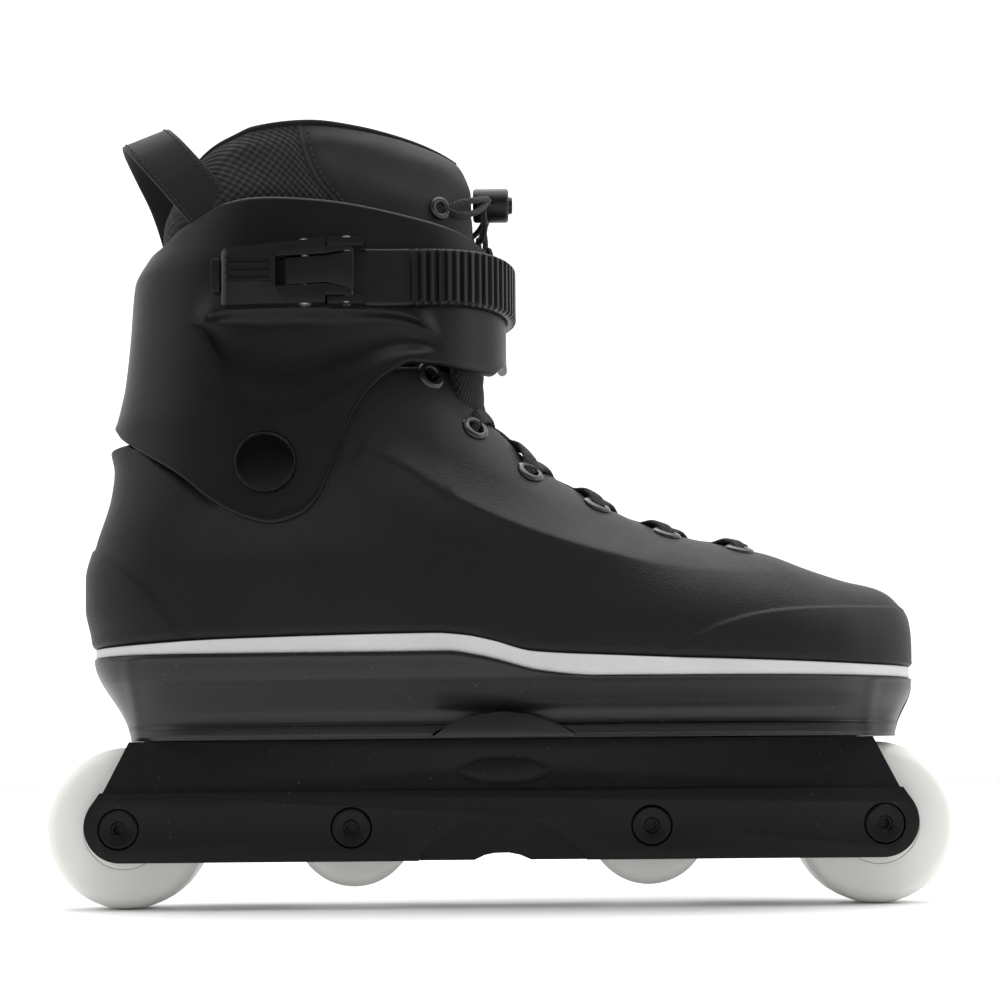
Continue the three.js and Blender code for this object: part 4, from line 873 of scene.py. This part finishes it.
def eyelet_spots():
    for index, (x, half) in enumerate(EYELETS):
        for side, letter in ((-1, "lateral"), (1, "medial")):
            y = side * half
            yield index, letter, np.array([x, y, float(shell_top(x, y)) + BOOT_Z]), top_normal(x, y)


def build_shell():
    grid, closed_top = shell_grid(230, rows_with_edges(140, 0.016), shell_rim)
    n = shell_normals(grid, closed_top)
    out = shell_detail(grid)
    grid = grid + n * out[..., None]
    wall = 3.4 + out - 1.2 * smooth(0, 2, grid[..., 2] - recess_edge(grid[..., 0]))
    piece = mesh_object("boot_shell_moulded", *raised(*thick(grid, n, wall, True, closed_top)), WELD)
    holes = [scratch(*turned_on([(0, -8), (3.3, -8), (3.3, 8), (0, 8)], spot, normal, 32))
             for _, _, spot, normal in eyelet_spots()]
    boolean(piece, holes)
    finish_piece(piece, "root", "shell_plastic", shell_look, ["boot_shell"])


build_shell()
for index, letter, spot, normal in eyelet_spots():
    ring = [(2.7, -2.6), (3.15, -2.6), (3.2, -0.3), (5.2, -0.5), (5.35, 0.3), (4.9, 0.85), (4.0, 1.3),
            (3.1, 1.2), (2.7, 0.6)]
    eyelet = turned_on(round_corners(ring, 0.35, 3, True), spot, normal, 56)
    add(f"eyelet_{index + 1}_{letter}", *eyelet, "root", "black_steel", eyelet_look)


# ---------------------------------------------------------------- cuff
scoop_high = curve([(-112, 139), (-104.3, 144.3), (-98.3, 146.1), (-87.6, 147.4), (-72, 147.5),
                    (-51.7, 146.8), (-36.6, 146.1), (-28.5, 144.5), (-23.5, 141.8), (-20.5, 137.9),
                    (-18, 134)])
scoop_low = curve([(-104, 142), (-101.7, 139.6), (-95.5, 129.1), (-88.1, 118.4), (-80.8, 113), (-67.6, 112.9),
                   (-57.3, 118.9), (-47, 124.4), (-36.8, 130.2), (-26.7, 133.0), (-20, 133.5)])


def cuff_point(theta, z, inset=0.0):
    c, s = np.cos(theta), np.sin(theta)
    back, front = cuff_rear(z) + inset, cuff_front(z) - inset
    x = (back + front) / 2 - (front - back) / 2 * c
    return x, np.where(s > 0, -1.0, 1.0) * (cuff_wide(z) - inset) * arc(np.abs(c))


def build_cuff():
    theta = even(lambda a: cuff_point(a, 150.0), -(math.pi - 0.195), math.pi + 0.081, 330)[:, None]
    t = rows_with_edges(140, 0.018)[None, :]
    z = np.full((len(theta), t.shape[1]), 150.0)
    for _ in range(20):
        x, y = cuff_point(theta, z)
        high = np.where(y > 5.5, cuff_top_medial(x), cuff_top_lateral(x))
        inner_cut = 12 * smooth(-34, -10, x) + 10 * smooth(-8, 2, x)
        outer_cut = 1.3 * smooth(-38, -30, x) * (1 - smooth(-20, -10, x))
        low = cuff_low(x) + np.where(theta < 0, inner_cut, outer_cut)
        z = 0.3 * z + 0.7 * (low + (high - low) * t)
    x, y = cuff_point(theta, z)
    grid = np.stack([x, y, z], 2)
    n = grid_normals(grid, False)
    n = facing(n, n[..., 1] * np.sign(y))
    span = np.maximum(scoop_high(x) - scoop_low(x), 1.0)
    u = (scoop_high(x) - z) / span
    ends = smooth(-106, -97, x) * (1 - smooth(-28, -19, x))
    sink = 0.62 * smooth(0.0, 0.15, u) + 0.38 * smooth(0.1, 0.55, u)
    hollow = -2.6 * sink * (1 - smooth(0.6, 1.08, u)) * ends
    above = np.clip(z - scoop_high(x), 0, None)
    brow = 1.7 * np.exp(-((above / 6.5) ** 2)) * (1 - smooth(-0.01, 0.14, u)) * ends
    edge = np.minimum(z - cuff_low(x), 40)
    lip = 0.35 * np.exp(-((edge / 2.2) ** 2))
    out = hollow + brow + lip
    grid = grid + n * out[..., None]
    skin = thick(grid, n, 3.2 + out, False, radius=1.5)
    piece = mesh_object("cuff_moulded", *raised(*skin), WELD)
    centre = (PIVOT[0], 0, PIVOT[1] + BOOT_Z)
    seat = [(0, 45), (11.9, 45), (11.9, 60), (0, 60)]
    boolean(piece, [scratch(*lathe([(r, side * h) for r, h in seat], centre, 72)) for side in (-1, 1)])
    finish_piece(piece, "cuff", "shell_plastic", cuff_look, ["cuff"])


build_cuff()
for name, side in (("lateral", -1), ("medial", 1)):
    centre = (PIVOT[0], 0, PIVOT[1] + BOOT_Z)
    cap = [(0, 36.3), (3, 36.3), (3, 45.3), (10.7, 45.3), (10.7, 47.7), (10.2, 48.5), (9.3, 48.95),
           (6, 49.35), (3, 49.5), (0, 49.55)]
    turned(f"pivot_bolt_{name}", [(r, side * y) for r, y in cap], centre, "root", "satin_plastic", cap_look,
           96, radius=0.5, steps=4, ring=False)
    nut = [(3.12, 38), (9, 38), (9, 40), (5, 40), (5, 45.6), (3.12, 45.6)]
    turned(f"pivot_nut_{name}", [(r, side * y) for r, y in nut], centre, "root", "steel", steel_look, 64)


# ---------------------------------------------------------------- strap and buckle
def cuff_offset(theta, z, offset):
    """Point standing `offset` off the cuff, and the way out."""
    step = 0.01
    x, y = cuff_point(theta, z)
    ax, ay = cuff_point(theta - step, z)
    bx, by = cuff_point(theta + step, z)
    length = np.hypot(bx - ax, by - ay)
    nx, ny = (by - ay) / length, -(bx - ax) / length
    return x + offset * nx, y + offset * ny, nx, ny


def build_strap():
    start, stop = 0.56 * math.pi, 1.5 * math.pi
    theta = even(lambda a: cuff_point(a, STRAP_Z), start, stop, 640)
    x, y, nx, ny = cuff_offset(theta, STRAP_Z, 0.0)
    if np.median(ny[:200]) > 0:
        nx, ny = -nx, -ny
    ahead = smooth(-45, 2, x)
    off = 3.1 - 0.7 * ahead
    x, y = x + off * nx, y + off * ny
    tilt = 4.0 * ahead  # the strap rises towards its front
    s = np.concatenate([[0], np.cumsum(np.hypot(np.diff(x), np.diff(y)))])
    first = float(s[np.argmax(x > -30.5)])
    f = ((s - first) / RIB_PITCH) % 1.0
    rib = 1.2 * smooth(0.12, 0.34, f) * (1 - smooth(0.66, 0.88, f)) * (s > first) * (s < s[-1] - 28)
    across = np.concatenate([[0, 0.01, 0.03, 0.06], np.linspace(0.1, 0.9, 14), [0.94, 0.97, 0.99, 1]])
    z = (across - 0.5) * STRAP_WIDTH + STRAP_Z
    margin = np.minimum(across, 1 - across) * STRAP_WIDTH
    height = rib[:, None] * smooth(0.1, 1.2, margin)[None, :]
    px = x[:, None] + nx[:, None] * height
    py = y[:, None] + ny[:, None] * height
    grid = np.stack([px, py, z[None, :] + tilt[:, None]], 2)
    n = np.stack([nx, ny, 0 * nx], 1)[:, None, :] + np.zeros_like(grid)
    add("ladder_strap_moulded", *raised(*thick(grid, n, 2.5 + height, False, radius=0.9)), "cuff",
        "satin_plastic", satin_look, ["ladder_strap"])


build_strap()
BASE_LOW, BASE_HIGH = STRAP_Z - 10.4 + BOOT_Z, STRAP_Z + 9.6 + BOOT_Z
ears = [round_corners([(-57.4, a), (-45.4, a), (-44.4, b), (-57.4, b)], 0.8, 4, True)
        for a, b in ((226.5, 229.4), (209.4, 206.7))]
solid_piece("buckle_base_moulded", box_mesh(-93.0, -44.8, -50.4, -46.0, BASE_LOW, BASE_HIGH), "cuff",
            "satin_plastic", satin_look, ["buckle_base"],
            joins=[prism_mesh(ear, -55.4, -46.4) for ear in ears],
            cuts=[box_mesh(-66, -20, -52, -47.1, BASE_LOW + 0.8, BASE_HIGH - 0.8)], edge=0.35)


def build_lever():
    outline = round_corners([(-93.4, 206.2), (-58.0, 207.1), (-58.0, 209.6), (-48.4, 209.6), (-48.4, 226.3),
                             (-58.0, 226.3), (-58.0, 229.4), (-66, 228.3), (-93.4, 225.4)],
                            [1.8, 0.5, 0.5, 1, 1, 0.5, 0.5, 4, 1.8], 6, True)
    plan = round_corners([(-92.4, -50.7), (-49.6, -50.7), (-48.2, -52.3), (-48.6, -54.9), (-52.5, -56.0),
                          (-66, -55.8), (-84, -56.9), (-91.6, -56.4), (-93.6, -54.2)],
                         [0.5, 1, 1, 1.2, 5, 12, 3, 1.6, 1.0], 5, True)
    opening = round_corners([(-74.8, 212.6), (-57.6, 213.6), (-47, 210.8), (-47, 225.7), (-57.6, 223.8),
                             (-74.8, 222.9)], [0.4, 2, 0.4, 0.4, 2, 0.4], 4, True)
    ridges = [box_mesh(-91.6, -76.6, -57.6, -55.4, z - 0.36, z + 0.36) for z in (214.6, 217.2, 219.8, 222.4)]
    piece = mesh_object("buckle_lever_moulded", *prism_mesh(plan, 200, 235, "z"))
    boolean(piece, [scratch(*prism_mesh(outline, -60, -49))], "INTERSECT")
    boolean(piece, [scratch(*prism_mesh(opening, -60, -45))])
    boolean(piece, [scratch(*ridge) for ridge in ridges], "UNION")
    bevel(piece, 0.3, 3)
    finish_piece(piece, "buckle_lever", "satin_plastic", satin_look, ["buckle_lever"])


build_lever()
pawl = [(-71.6, 213.1), (-57.6, 214.0), (-48.5, 211.3), (-48.5, 225.2), (-57.6, 223.4), (-71.6, 222.5)]
solid_piece("buckle_pawl_moulded", prism_mesh(pawl, -55.35, -51.0), "buckle_lever", "satin_plastic",
            satin_look, ["buckle_pawl"], edge=0.35)
tab = round_corners([(-97.2, 211.8), (-94.1, 211.8), (-94.1, 223.2), (-97.2, 223.2)],
                    [1.3, 0.3, 0.3, 1.3], 5, True)
solid_piece("buckle_release_moulded", prism_mesh(tab, -51.8, -46.9), "buckle_release", "satin_plastic",
            satin_look, ["buckle_release"], edge=0.4)
for name, x, low, high, body in (("front", -50.9, 206.3, 230.3, "cuff"),
                                 ("rear", -65.1, 206.0, 229.4, "buckle_lever")):
    head = [(0, 0), (1.4, 0.2), (2.3, 0.9), (2.3, 1.1), (1.5, 1.2)]
    profile = [(r, low + h) for r, h in head] + [(r, high - h) for r, h in head[::-1]]
    add(f"buckle_pin_{name}_turned", *lathe(profile, (x, -53.3, 0), 40, "z"), body, "steel", steel_look,
        [f"buckle_pin_{name}"])
sunk_head = [(2.4, 49.0), (4.0, 49.8), (3.4, 50.4), (1.3, 50.4), (1.3, 49.4), (0, 49.4)]
flat_head = [(2.4, 50.6), (4.4, 50.6), (4.4, 51.2), (3.0, 52.1), (1.3, 52.2), (1.3, 51.2), (0, 51.2)]
for name, side, x, head in (("buckle_screw", -1, -84, sunk_head), ("strap_screw", 1, -56, flat_head)):
    profile = [(r, side * y) for r, y in [(0, 43.3), (2.4, 43.3), *head]]
    add(f"{name}_turned", *lathe(profile, (x, 0, STRAP_Z + BOOT_Z), 40), "cuff", "steel", steel_look, [name])


# ---------------------------------------------------------------- sweeps and stitches
def spline(points, count):
    """Catmull-Rom curve through points, evenly spaced."""
    p = np.array(points, float)
    p = np.vstack([2 * p[0] - p[1], p, 2 * p[-1] - p[-2]])
    fine = []
    for i in range(1, len(p) - 2):
        t = np.linspace(0, 1, 60, endpoint=False)[:, None]
        a, b, c, d = p[i - 1], p[i], p[i + 1], p[i + 2]
        square, cube = 2 * a - 5 * b + 4 * c - d, 3 * b - a - 3 * c + d
        fine.append(0.5 * (2 * b + (c - a) * t + square * t ** 2 + cube * t ** 3))
    fine = np.vstack([*fine, p[-2:-1]])
    s = np.concatenate([[0], np.cumsum(np.linalg.norm(np.diff(fine, axis=0), axis=1))])
    even_s = np.linspace(0, s[-1], count)
    return np.stack([np.interp(even_s, s, fine[:, k]) for k in range(3)], 1)


def sweep(path, wide, tall, up, around=16, power=2.0, across=None):
    """Closed body with a rounded section along a path. wide and tall are half sizes; up is the way
    of `tall`, one vector or one for each point. across, where given, is the way of `wide`."""
    path = np.array(path, float)
    n = len(path)
    tangent = unit(np.gradient(path, axis=0))
    if across is None:
        side = unit(np.cross(tangent, np.broadcast_to(np.array(up, float), (n, 3))))
    else:
        side = unit(across - tangent * np.sum(across * tangent, axis=1, keepdims=True))
    rise = np.cross(side, tangent)
    angle = np.arange(around) * 2 * math.pi / around
    c, s = np.cos(angle), np.sin(angle)
    u = np.sign(c) * np.abs(c) ** (2 / power)
    v = np.sign(s) * np.abs(s) ** (2 / power)
    wide = np.broadcast_to(np.array(wide, float), (n,))
    tall = np.broadcast_to(np.array(tall, float), (n,))
    rings = (path[:, None] + side[:, None] * (u[None, :] * wide[:, None])[..., None]
             + rise[:, None] * (v[None, :] * tall[:, None])[..., None])
    faces = []
    for i in range(n - 1):
        for k in range(around):
            a, b = i * around + k, i * around + (k + 1) % around
            faces.append((a, b, b + around, a + around))
    faces += [tuple(range(around))[::-1], tuple(range((n - 1) * around, n * around))]
    return rings.reshape(-1, 3), faces


def merge(parts):
    """Several bodies as one list of points and faces."""
    points, faces, count = [], [], 0
    for p, f in parts:
        points.append(np.asarray(p, float))
        faces += [tuple(i + count for i in face) for face in f]
        count += len(p)
    return np.vstack(points), faces


def stitches(path, up, length=1.7, gap=0.8, radius=0.24):
    """Row of thread stitches lying on a path."""
    path, up = np.array(path, float), np.broadcast_to(np.array(up, float), (len(path), 3))
    taper = radius * np.array([0.5, 1, 1, 1, 0.5])
    s = np.concatenate([[0], np.cumsum(np.linalg.norm(np.diff(path, axis=0), axis=1))])
    parts, at = [], 0.4
    while at + length < s[-1]:
        spots = np.linspace(at, at + length, 5)
        line = np.stack([np.interp(spots, s, path[:, k]) for k in range(3)], 1)
        out = np.array([np.interp(at, s, up[:, k]) for k in range(3)])
        line = line + out * np.array([-0.12, 0.12, 0.18, 0.12, -0.12])[:, None]
        parts.append(sweep(line, taper, taper, out, 6))
        at += length + gap
    return merge(parts)


# ---------------------------------------------------------------- inner boot
def collar_point(theta, z, out=0.0):
    c, s = np.cos(theta), np.sin(theta)
    back, front = collar_rear(z) - out, collar_front(z) + out
    x = (back + front) / 2 - (front - back) / 2 * c
    return x, np.where(s > 0, -1.0, 1.0) * (collar_wide(z) + out) * arc(np.abs(c))


def collar_push(x, z):
    return 3.6 * smooth(-45, -12, x) * smooth(176, 196, z) * (1 - 0.4 * smooth(205, 212, z))


def collar_rise(x, z):
    return 1.2 * smooth(190, 208, z) * smooth(-118, -95, x)


seam_x = curve([(150, -40), (180, -51.5), (187.5, -57), (194.4, -62.3), (204.6, -66.9), (217, -68.8)])


def build_collar():
    theta = even(lambda a: collar_point(a, 190.0), -(math.pi - 0.36), math.pi - 0.36, 300)[:, None]
    t = rows_with_edges(70, 0.05)[None, :]
    z = np.full((len(theta), t.shape[1]), 180.0)
    for _ in range(24):
        x, y = collar_point(theta, z)
        z = 0.4 * z + 0.6 * (collar_base(x) + (collar_rim(x) - collar_base(x)) * t)
    x, y = collar_point(theta, z)
    grid = np.stack([x + collar_push(x, z), y, z + collar_rise(x, z)], 2)
    n = grid_normals(grid, False)
    n = facing(n, n[..., 1] * np.sign(y))
    down = collar_rim(x) - z
    seam = x - seam_x(z)
    puff = 0.9 * smooth(0.5, 9, down) * (1 - smooth(22, 34, down)) * (1 - np.exp(-((seam / 3.0) ** 2)))
    crumple = 0.25 * np.sin(x * 0.21 + z * 0.13) * np.sin(z * 0.31 - x * 0.07) * smooth(2, 10, down)
    out = puff + crumple * (1 - smooth(24, 34, down))
    grid = grid + n * out[..., None]
    wall = 5.3 + out + 2.4 * np.exp(-(((down - 13) / 9) ** 2))
    piece = add("liner_collar_padded", *raised(*thick(grid, n, wall, False, radius=2.7, skip=2)), "cuff",
                "knit", knit_look, ["liner_collar"], sharp=60)
    piece.data.materials.append(smooth_look)
    for polygon in piece.data.polygons:
        centre = polygon.center / MM
        polygon.material_index = 1 if centre.x > seam_x(centre.z - BOOT_Z) else 0
    # Binding round the rim.
    ring = theta[:, 0]
    zr = np.full(len(ring), 205.0)
    for _ in range(24):
        xr, yr = collar_point(ring, zr)
        zr = 0.4 * zr + 0.6 * collar_rim(xr)
    xr, yr = collar_point(ring, zr, -2.4)
    rim_path = np.stack([xr + collar_push(xr, zr), yr, zr - 0.35 + collar_rise(xr, zr)], 1)
    add("liner_binding", *raised(*sweep(rim_path, 2.9, 1.15, (0, 0, 1), 14, 2.6)), "cuff", "knit",
        webbing_look, sharp=60)
    # Seam between the mesh and the smooth front, with its stitches.
    trims, threads = [], []
    for side in (-1, 1):
        zs = np.linspace(170, 213.5, 60)
        xs = seam_x(zs)
        back, front = collar_rear(zs), collar_front(zs)
        c = ((back + front) / 2 - xs) / ((front - back) / 2)
        ys = side * collar_wide(zs) * arc(np.abs(c))
        path = np.stack([xs, ys + side * 0.05, zs + collar_rise(xs, zs)], 1)
        trims.append(sweep(path, 0.8, 0.45, (0, side, 0.1), 8))
        shifted = path + np.array([2.6, side * 0.55, 0.0])
        threads.append(stitches(shifted, (0, side, 0)))
    add("liner_seam", *raised(*merge(trims)), "cuff", "knit", smooth_look, sharp=60)
    add("liner_stitches", *raised(*merge(threads)), "cuff", "knit", thread_look, sharp=60)


build_collar()


def build_liner_foot():
    rim = curve([(-160, 98), (-66, 98), (-42, 113), (160, 113)])
    grid, closed_top = shell_grid(110, rows_with_edges(40, 0.06), rim, 4.6, 4.0, False)
    n = shell_normals(grid, closed_top)
    depth = 4.6 + 3.2 * smooth(52, 68, grid[..., 2])
    grid = grid - n * depth[..., None]
    skin = thick(grid, n, 4.6, True, closed_top, radius=2.2, skip=2)
    piece = add("liner_foot_padded", *raised(*skin), "root", "knit", smooth_look, ["liner_foot"], sharp=60,
                weld=0.02)


build_liner_foot()


def build_tongue():
    route = [(97, 58), (80, 62.4), (60, 67.2), (42, 74.5), (26, 83.5), (13, 93), (5, 101), (-1, 110),
             (-4.8, 120), (-5.4, 134), (-4.6, 150), (-4.6, 165), (-7.5, 179), (-11, 191), (-14.5, 200),
             (-18.5, 205.5)]
    path = spline([(x, 0, z) for x, z in route], 150)
    out = np.cross([0, 1, 0], unit(np.gradient(path, axis=0)))
    if out[75, 0] < 0:
        out = -out
    share = np.linspace(0, 1, 150)
    half = 14.0 + 5.5 * smooth(0.34, 0.5, share) - 2.5 * smooth(0.7, 0.85, share)
    half = half * (0.72 + 0.28 * smooth(0, 0.06, share)) * (0.8 + 0.2 * (1 - smooth(0.95, 1, share)))
    v = rows_with_edges(30, 0.08) * 2 - 1
    y = half[:, None] * v[None, :]
    drop = 4.2 + 5.0 * smooth(0.34, 0.5, share) - 2.5 * smooth(0.7, 0.85, share)
    drop = drop[:, None] * np.abs(v[None, :]) ** 2.2
    ribs = 0.35 * np.abs(np.sin(share * 95))[:, None] * (1 - smooth(0.82, 0.9, np.abs(v)))[None, :]
    grid = path[:, None, :] + y[..., None] * np.array([0, 1, 0]) - out[:, None, :] * (drop - ribs)[..., None]
    n = grid_normals(grid, False)
    n = facing(n, np.sum(n * out[:, None, :], axis=2))
    piece = add("tongue_padded", *raised(*thick(grid, n, 5.0, False, radius=2.4, skip=2)), None, "knit",
                knit_look, ["tongue", "tongue_top"], sharp=60)
    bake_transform(piece)


build_tongue()


def build_insole(name, rear, front, low, high, nodes):
    """Footbed layer that follows the boot's sole."""
    a, side = (v[:, None] for v in sole_ring(110))
    inward = np.array([0.0, 0.3, 0.6, 0.85, 0.96, 1.0])
    pull = np.concatenate([inward, [1.0, 1.0, 1.0], inward[::-1]])[None, :]
    t = np.concatenate([np.zeros(6), [0.25, 0.5, 0.75], np.ones(6)])[None, :]
    part = (1 - np.cos(a)) / 2
    x = rear + (front - rear) * part
    plan = plan_at(x, side) - 12.5
    end = arc(1 - (x - rear) / 30) * arc(1 - (front - x) / (30 if front > 0 else 8))
    y = side * np.maximum(plan, 4) * end * pull
    cup = 1.6 * pull ** 4 * (1 - smooth(-60, 40, x)) * t
    z = shell_sole(x) + low(x) + (high(x) - low(x)) * t + cup
    piece = add(name, *raised(*closed_grid(x, y, z)), "root", "foam", foam_look, nodes, sharp=60, weld=0.01)


step_up = curve([(-150, 10.4), (-64, 10.4), (-55, 7.8), (150, 7.8)])
build_insole("insole_shaped", -135.5, 133.0, step_up, lambda x: 13.4 + 0 * x, ["insole"])
build_insole("heel_pad_shaped", -134.5, -64.0, lambda x: 7.7 + 0 * x, lambda x: 10.1 + 0 * x, ["heel_pad"])


# ---------------------------------------------------------------- pull loop
def build_pull_loop():
    wide = np.array([0.93, 0, 0.367])  # way of the webbing's width
    spots = [(-95.8, -33.2, 180.8), (-103.6, -33.4, 189.9), (-112, -32.4, 199.8), (-120, -28.5, 209.0),
             (-124.9, -20, 214.8), (-127.2, -6, 216.2), (-125.8, 8, 211.8), (-122, 18, 203),
             (-118.8, 24.5, 192), (-116.2, 28, 180)]
    path = spline(spots, 150)
    tangent = unit(np.gradient(path, axis=0))
    out = unit(np.cross(tangent, wide))
    if out[60, 2] < 0:
        out = -out
    add("pull_loop_webbing", *raised(*sweep(path, 8.7, 0.85, out, 24, 6.0)), "cuff", "webbing", smooth_look,
        ["pull_loop"], sharp=50)
    side = unit(np.cross(tangent, out))
    rows = [stitches((path + side * shift + out * 0.82)[2:-2], out[2:-2], 1.5, 0.8, 0.2)
            for shift in (-7.2, 7.2)]
    add("pull_loop_stitches", *raised(*merge(rows)), "cuff", "webbing", thread_look, sharp=60)


build_pull_loop()


# ---------------------------------------------------------------- cord lock and elastic
LOCK = (-3.0, 0.0, 195.8 + BOOT_Z)
lock = [(0, -5.6), (4.9, -5.6), (5.7, -5.3), (6.1, -4.4), (6.1, 6.5), (5.8, 7.1), (5.2, 7.4), (3.4, 7.4),
        (3.4, -3.8), (0, -3.8)]
plunger = [(0, -2.4), (3.1, -2.4), (3.1, 8.4), (2.7, 8.85), (0, 8.9)]
for name, body, profile, corner, bore, segments in (("cord_lock", "cuff", lock, 0.3, 1.9, 72),
                                                    ("cord_lock_plunger", "cord_lock_plunger", plunger,
                                                     0.25, 2.4, 56)):
    across = lathe([(0, -20), (bore, -20), (bore, 20), (0, 20)], LOCK, 32)
    solid_piece(f"{name}_moulded", lathe(round_corners(profile, corner, 3), LOCK, segments, "x"), body,
                "satin_plastic", satin_look, [name], cuts=[across], edge=0)


def build_elastic():
    parts = []
    start = math.pi * 0.76

    def at(theta, z, out):
        x, y = collar_point(np.array(theta), z, out)
        return np.array([float(x + collar_push(x, z)), float(y), z])

    for side in (-1, 1):
        def way(turn, z, out, side=side):
            return at((start + turn * math.pi) * (1 if side < 0 else -1), z, out)

        for lift in (0.0, -4.4):
            route = [way(0, 186, -4), way(0.012, 186.3, 0.8), way(0.05, 189.3 + lift, 2.8),
                     way(0.10, 191.8 + lift, 3.6), (-4.0, side * 13.0, 194.6 + 0.5 * lift),
                     (-3, side * 8, 195.6), (-3, side * 3, 195.8)]
            parts.append(sweep(spline(route, 60), 1.1, 1.1, (0.1, 0, 1), 12))
        # Free end of the loop hangs in front of the liner.
        loop = [(-3, 3, 195.8), (-3, 8.5, 195.2), (-4.6, 12.0, 191.0), (-4.2, 12.4, 184.5), (-5.2, 10, 180.5),
                (-6.5, 6, 181.5), (-6.6, 0.5, 183.0)]
        loop = [(px, side * py, pz) for px, py, pz in loop]
        parts.append(sweep(spline(loop, 60), 1.05, 1.05, (1, 0, 0.1), 12))
    add("elastic_loop", *raised(*merge(parts)), "cuff", "webbing", lace_look, ["elastic_lace"], sharp=60)
    for side, letter in ((-1, "lateral"), (1, "medial")):
        theta = start * (1 if side < 0 else -1)
        spot = at(theta, 186.0, 1.5)
        a, b = at(theta - 0.02, 186.0, 0), at(theta + 0.02, 186.0, 0)
        normal = unit(np.cross(b - a, [0, 0, 1]))
        if normal[1] * side < 0:
            normal = -normal
        ring = [(1.9, -0.6), (3.8, -0.3), (4.1, 0.1), (3.7, 0.7), (2.9, 0.95), (2.1, 0.7)]
        eyelet = turned_on(round_corners(ring, 0.3, 3, True), spot, normal, 48)
        add(f"liner_eyelet_{letter}", *raised(*eyelet), "cuff", "black_steel", eyelet_look)


build_elastic()


# ---------------------------------------------------------------- lace
def build_lace():
    used, parts = EYELETS[1:], []

    def over(x, y, lift):
        """Point `lift` above the throat, and the way up there."""
        n = top_normal(x, y)
        return np.array([x, y, float(shell_top(x, y))]) + n * lift, n

    def strand(first, second, high):
        t = np.linspace(0, 1, 60)
        t = t + 0.04 * np.sin(2 * math.pi * t) / (2 * math.pi)
        x = first[0] + (second[0] - first[0]) * smooth(0.02, 0.98, t)
        y = first[1] + (second[1] - first[1]) * smooth(-0.25, 1.25, t)
        y = first[1] + (y - y[0]) * (second[1] - first[1]) / (y[-1] - y[0])
        ends = np.minimum(smooth(0.0, 0.16, t), 1 - smooth(0.84, 1, t))
        lift = -2.6 + (3.7 + high) * ends - 2.4 * (1 - smooth(5.5, 11.5, np.abs(y)))
        path, normals = np.array([over(*spot) for spot in zip(x, y, lift)]).swapaxes(0, 1)
        across = np.cross(unit(path[-1] - path[0]), normals)
        width = (2.4 + 0.8 * ends) * (1 + 0.06 * np.sin(t * 170))
        parts.append(sweep(path, width, 1.0 + 0.5 * (1 - ends), normals, 20, 2.6, across))

    for (x0, y0), (x1, y1) in zip(used, used[1:]):
        strand((x0, -y0), (x1, y1), 0.0)
        strand((x0, y0), (x1, -y1), 0.9)
    x, y = used[-1]
    strand((x, -y), (x, y), 0.2)
    add("lace_braided", *raised(*merge(parts)), "root", "webbing", lace_look, ["lace"], sharp=60)


build_lace()


# ---------------------------------------------------------------- floor, light and camera
def stage():
    data = bpy.data.meshes.new("floor")
    far = 6.0
    data.from_pydata([(-far, -far, 0), (far, -far, 0), (far, far, 0), (-far, far, 0)], [], [(0, 1, 2, 3)])
    floor = bpy.data.objects.new("floor", data)
    bpy.context.scene.collection.objects.link(floor)
    look, tree, shader = new_material("floor_paper")
    cloud = noise(tree, node(tree, "TexCoord", "Object", {}), 3.0)
    tone = node(tree, "MapRange", "Result", {"Value": cloud, "To Min": 0.90, "To Max": 0.92})
    connect(tree, shader, {"Base Color": tone, "Roughness": 0.9})
    data.materials.append(look)

    def light(name, place, aim, size, energy):
        lamp = bpy.data.lights.new(name, "AREA")
        lamp.shape = "RECTANGLE"
        lamp.size, lamp.size_y = size
        lamp.energy = energy
        holder = bpy.data.objects.new(name, lamp)
        holder.location = place
        direction = Vector(aim) - Vector(place)
        holder.rotation_euler = direction.to_track_quat("-Z", "Y").to_euler()
        bpy.context.scene.collection.objects.link(holder)

    light("key_top", (0.1, 0.1, 1.25), (0, 0, 0.1), (1.6, 1.2), 19)
    light("rear_side", (-1.05, -0.3, 0.5), (-0.05, 0, 0.18), (0.6, 0.8), 1.2)
    light("toe_side", (1.1, -0.15, 0.5), (0.05, 0, 0.12), (0.5, 0.7), 2.2)
    light("front_low", (0.15, -1.3, 0.2), (0, 0, 0.06), (1.4, 0.3), 0.9)

    world = bpy.data.worlds.new("studio")
    world.use_nodes = True
    tree = world.node_tree
    _, y, z = split(tree, node(tree, "TexCoord", "Generated", {}))
    lift = calc(tree, "ADD", y, calc(tree, "MULTIPLY", z, 0.8))
    glow = node(tree, "MapRange", "Result", {"Value": lift, "From Min": -0.55, "From Max": 0.45,
                                             "To Min": 0.09, "To Max": 1.0})
    connect(tree, tree.nodes["Background"], {"Color": glow, "Strength": 1.28})
    bpy.context.scene.world = world


stage()
camera = bpy.data.objects.new("camera", bpy.data.cameras.new("camera"))
camera.data.sensor_width = 36
camera.data.lens = 69.4
camera.data.shift_y = 0.185
camera.location = (-0.00038, -0.7 + WHEEL_PLANE * MM, 0.05)
camera.rotation_euler = (math.pi / 2 + 0.04236, 0.00842, 0)
camera.data.clip_start = 0.05
bpy.context.scene.collection.objects.link(camera)
bpy.context.scene.camera = camera
bpy.context.scene.view_settings.view_transform = "Standard"
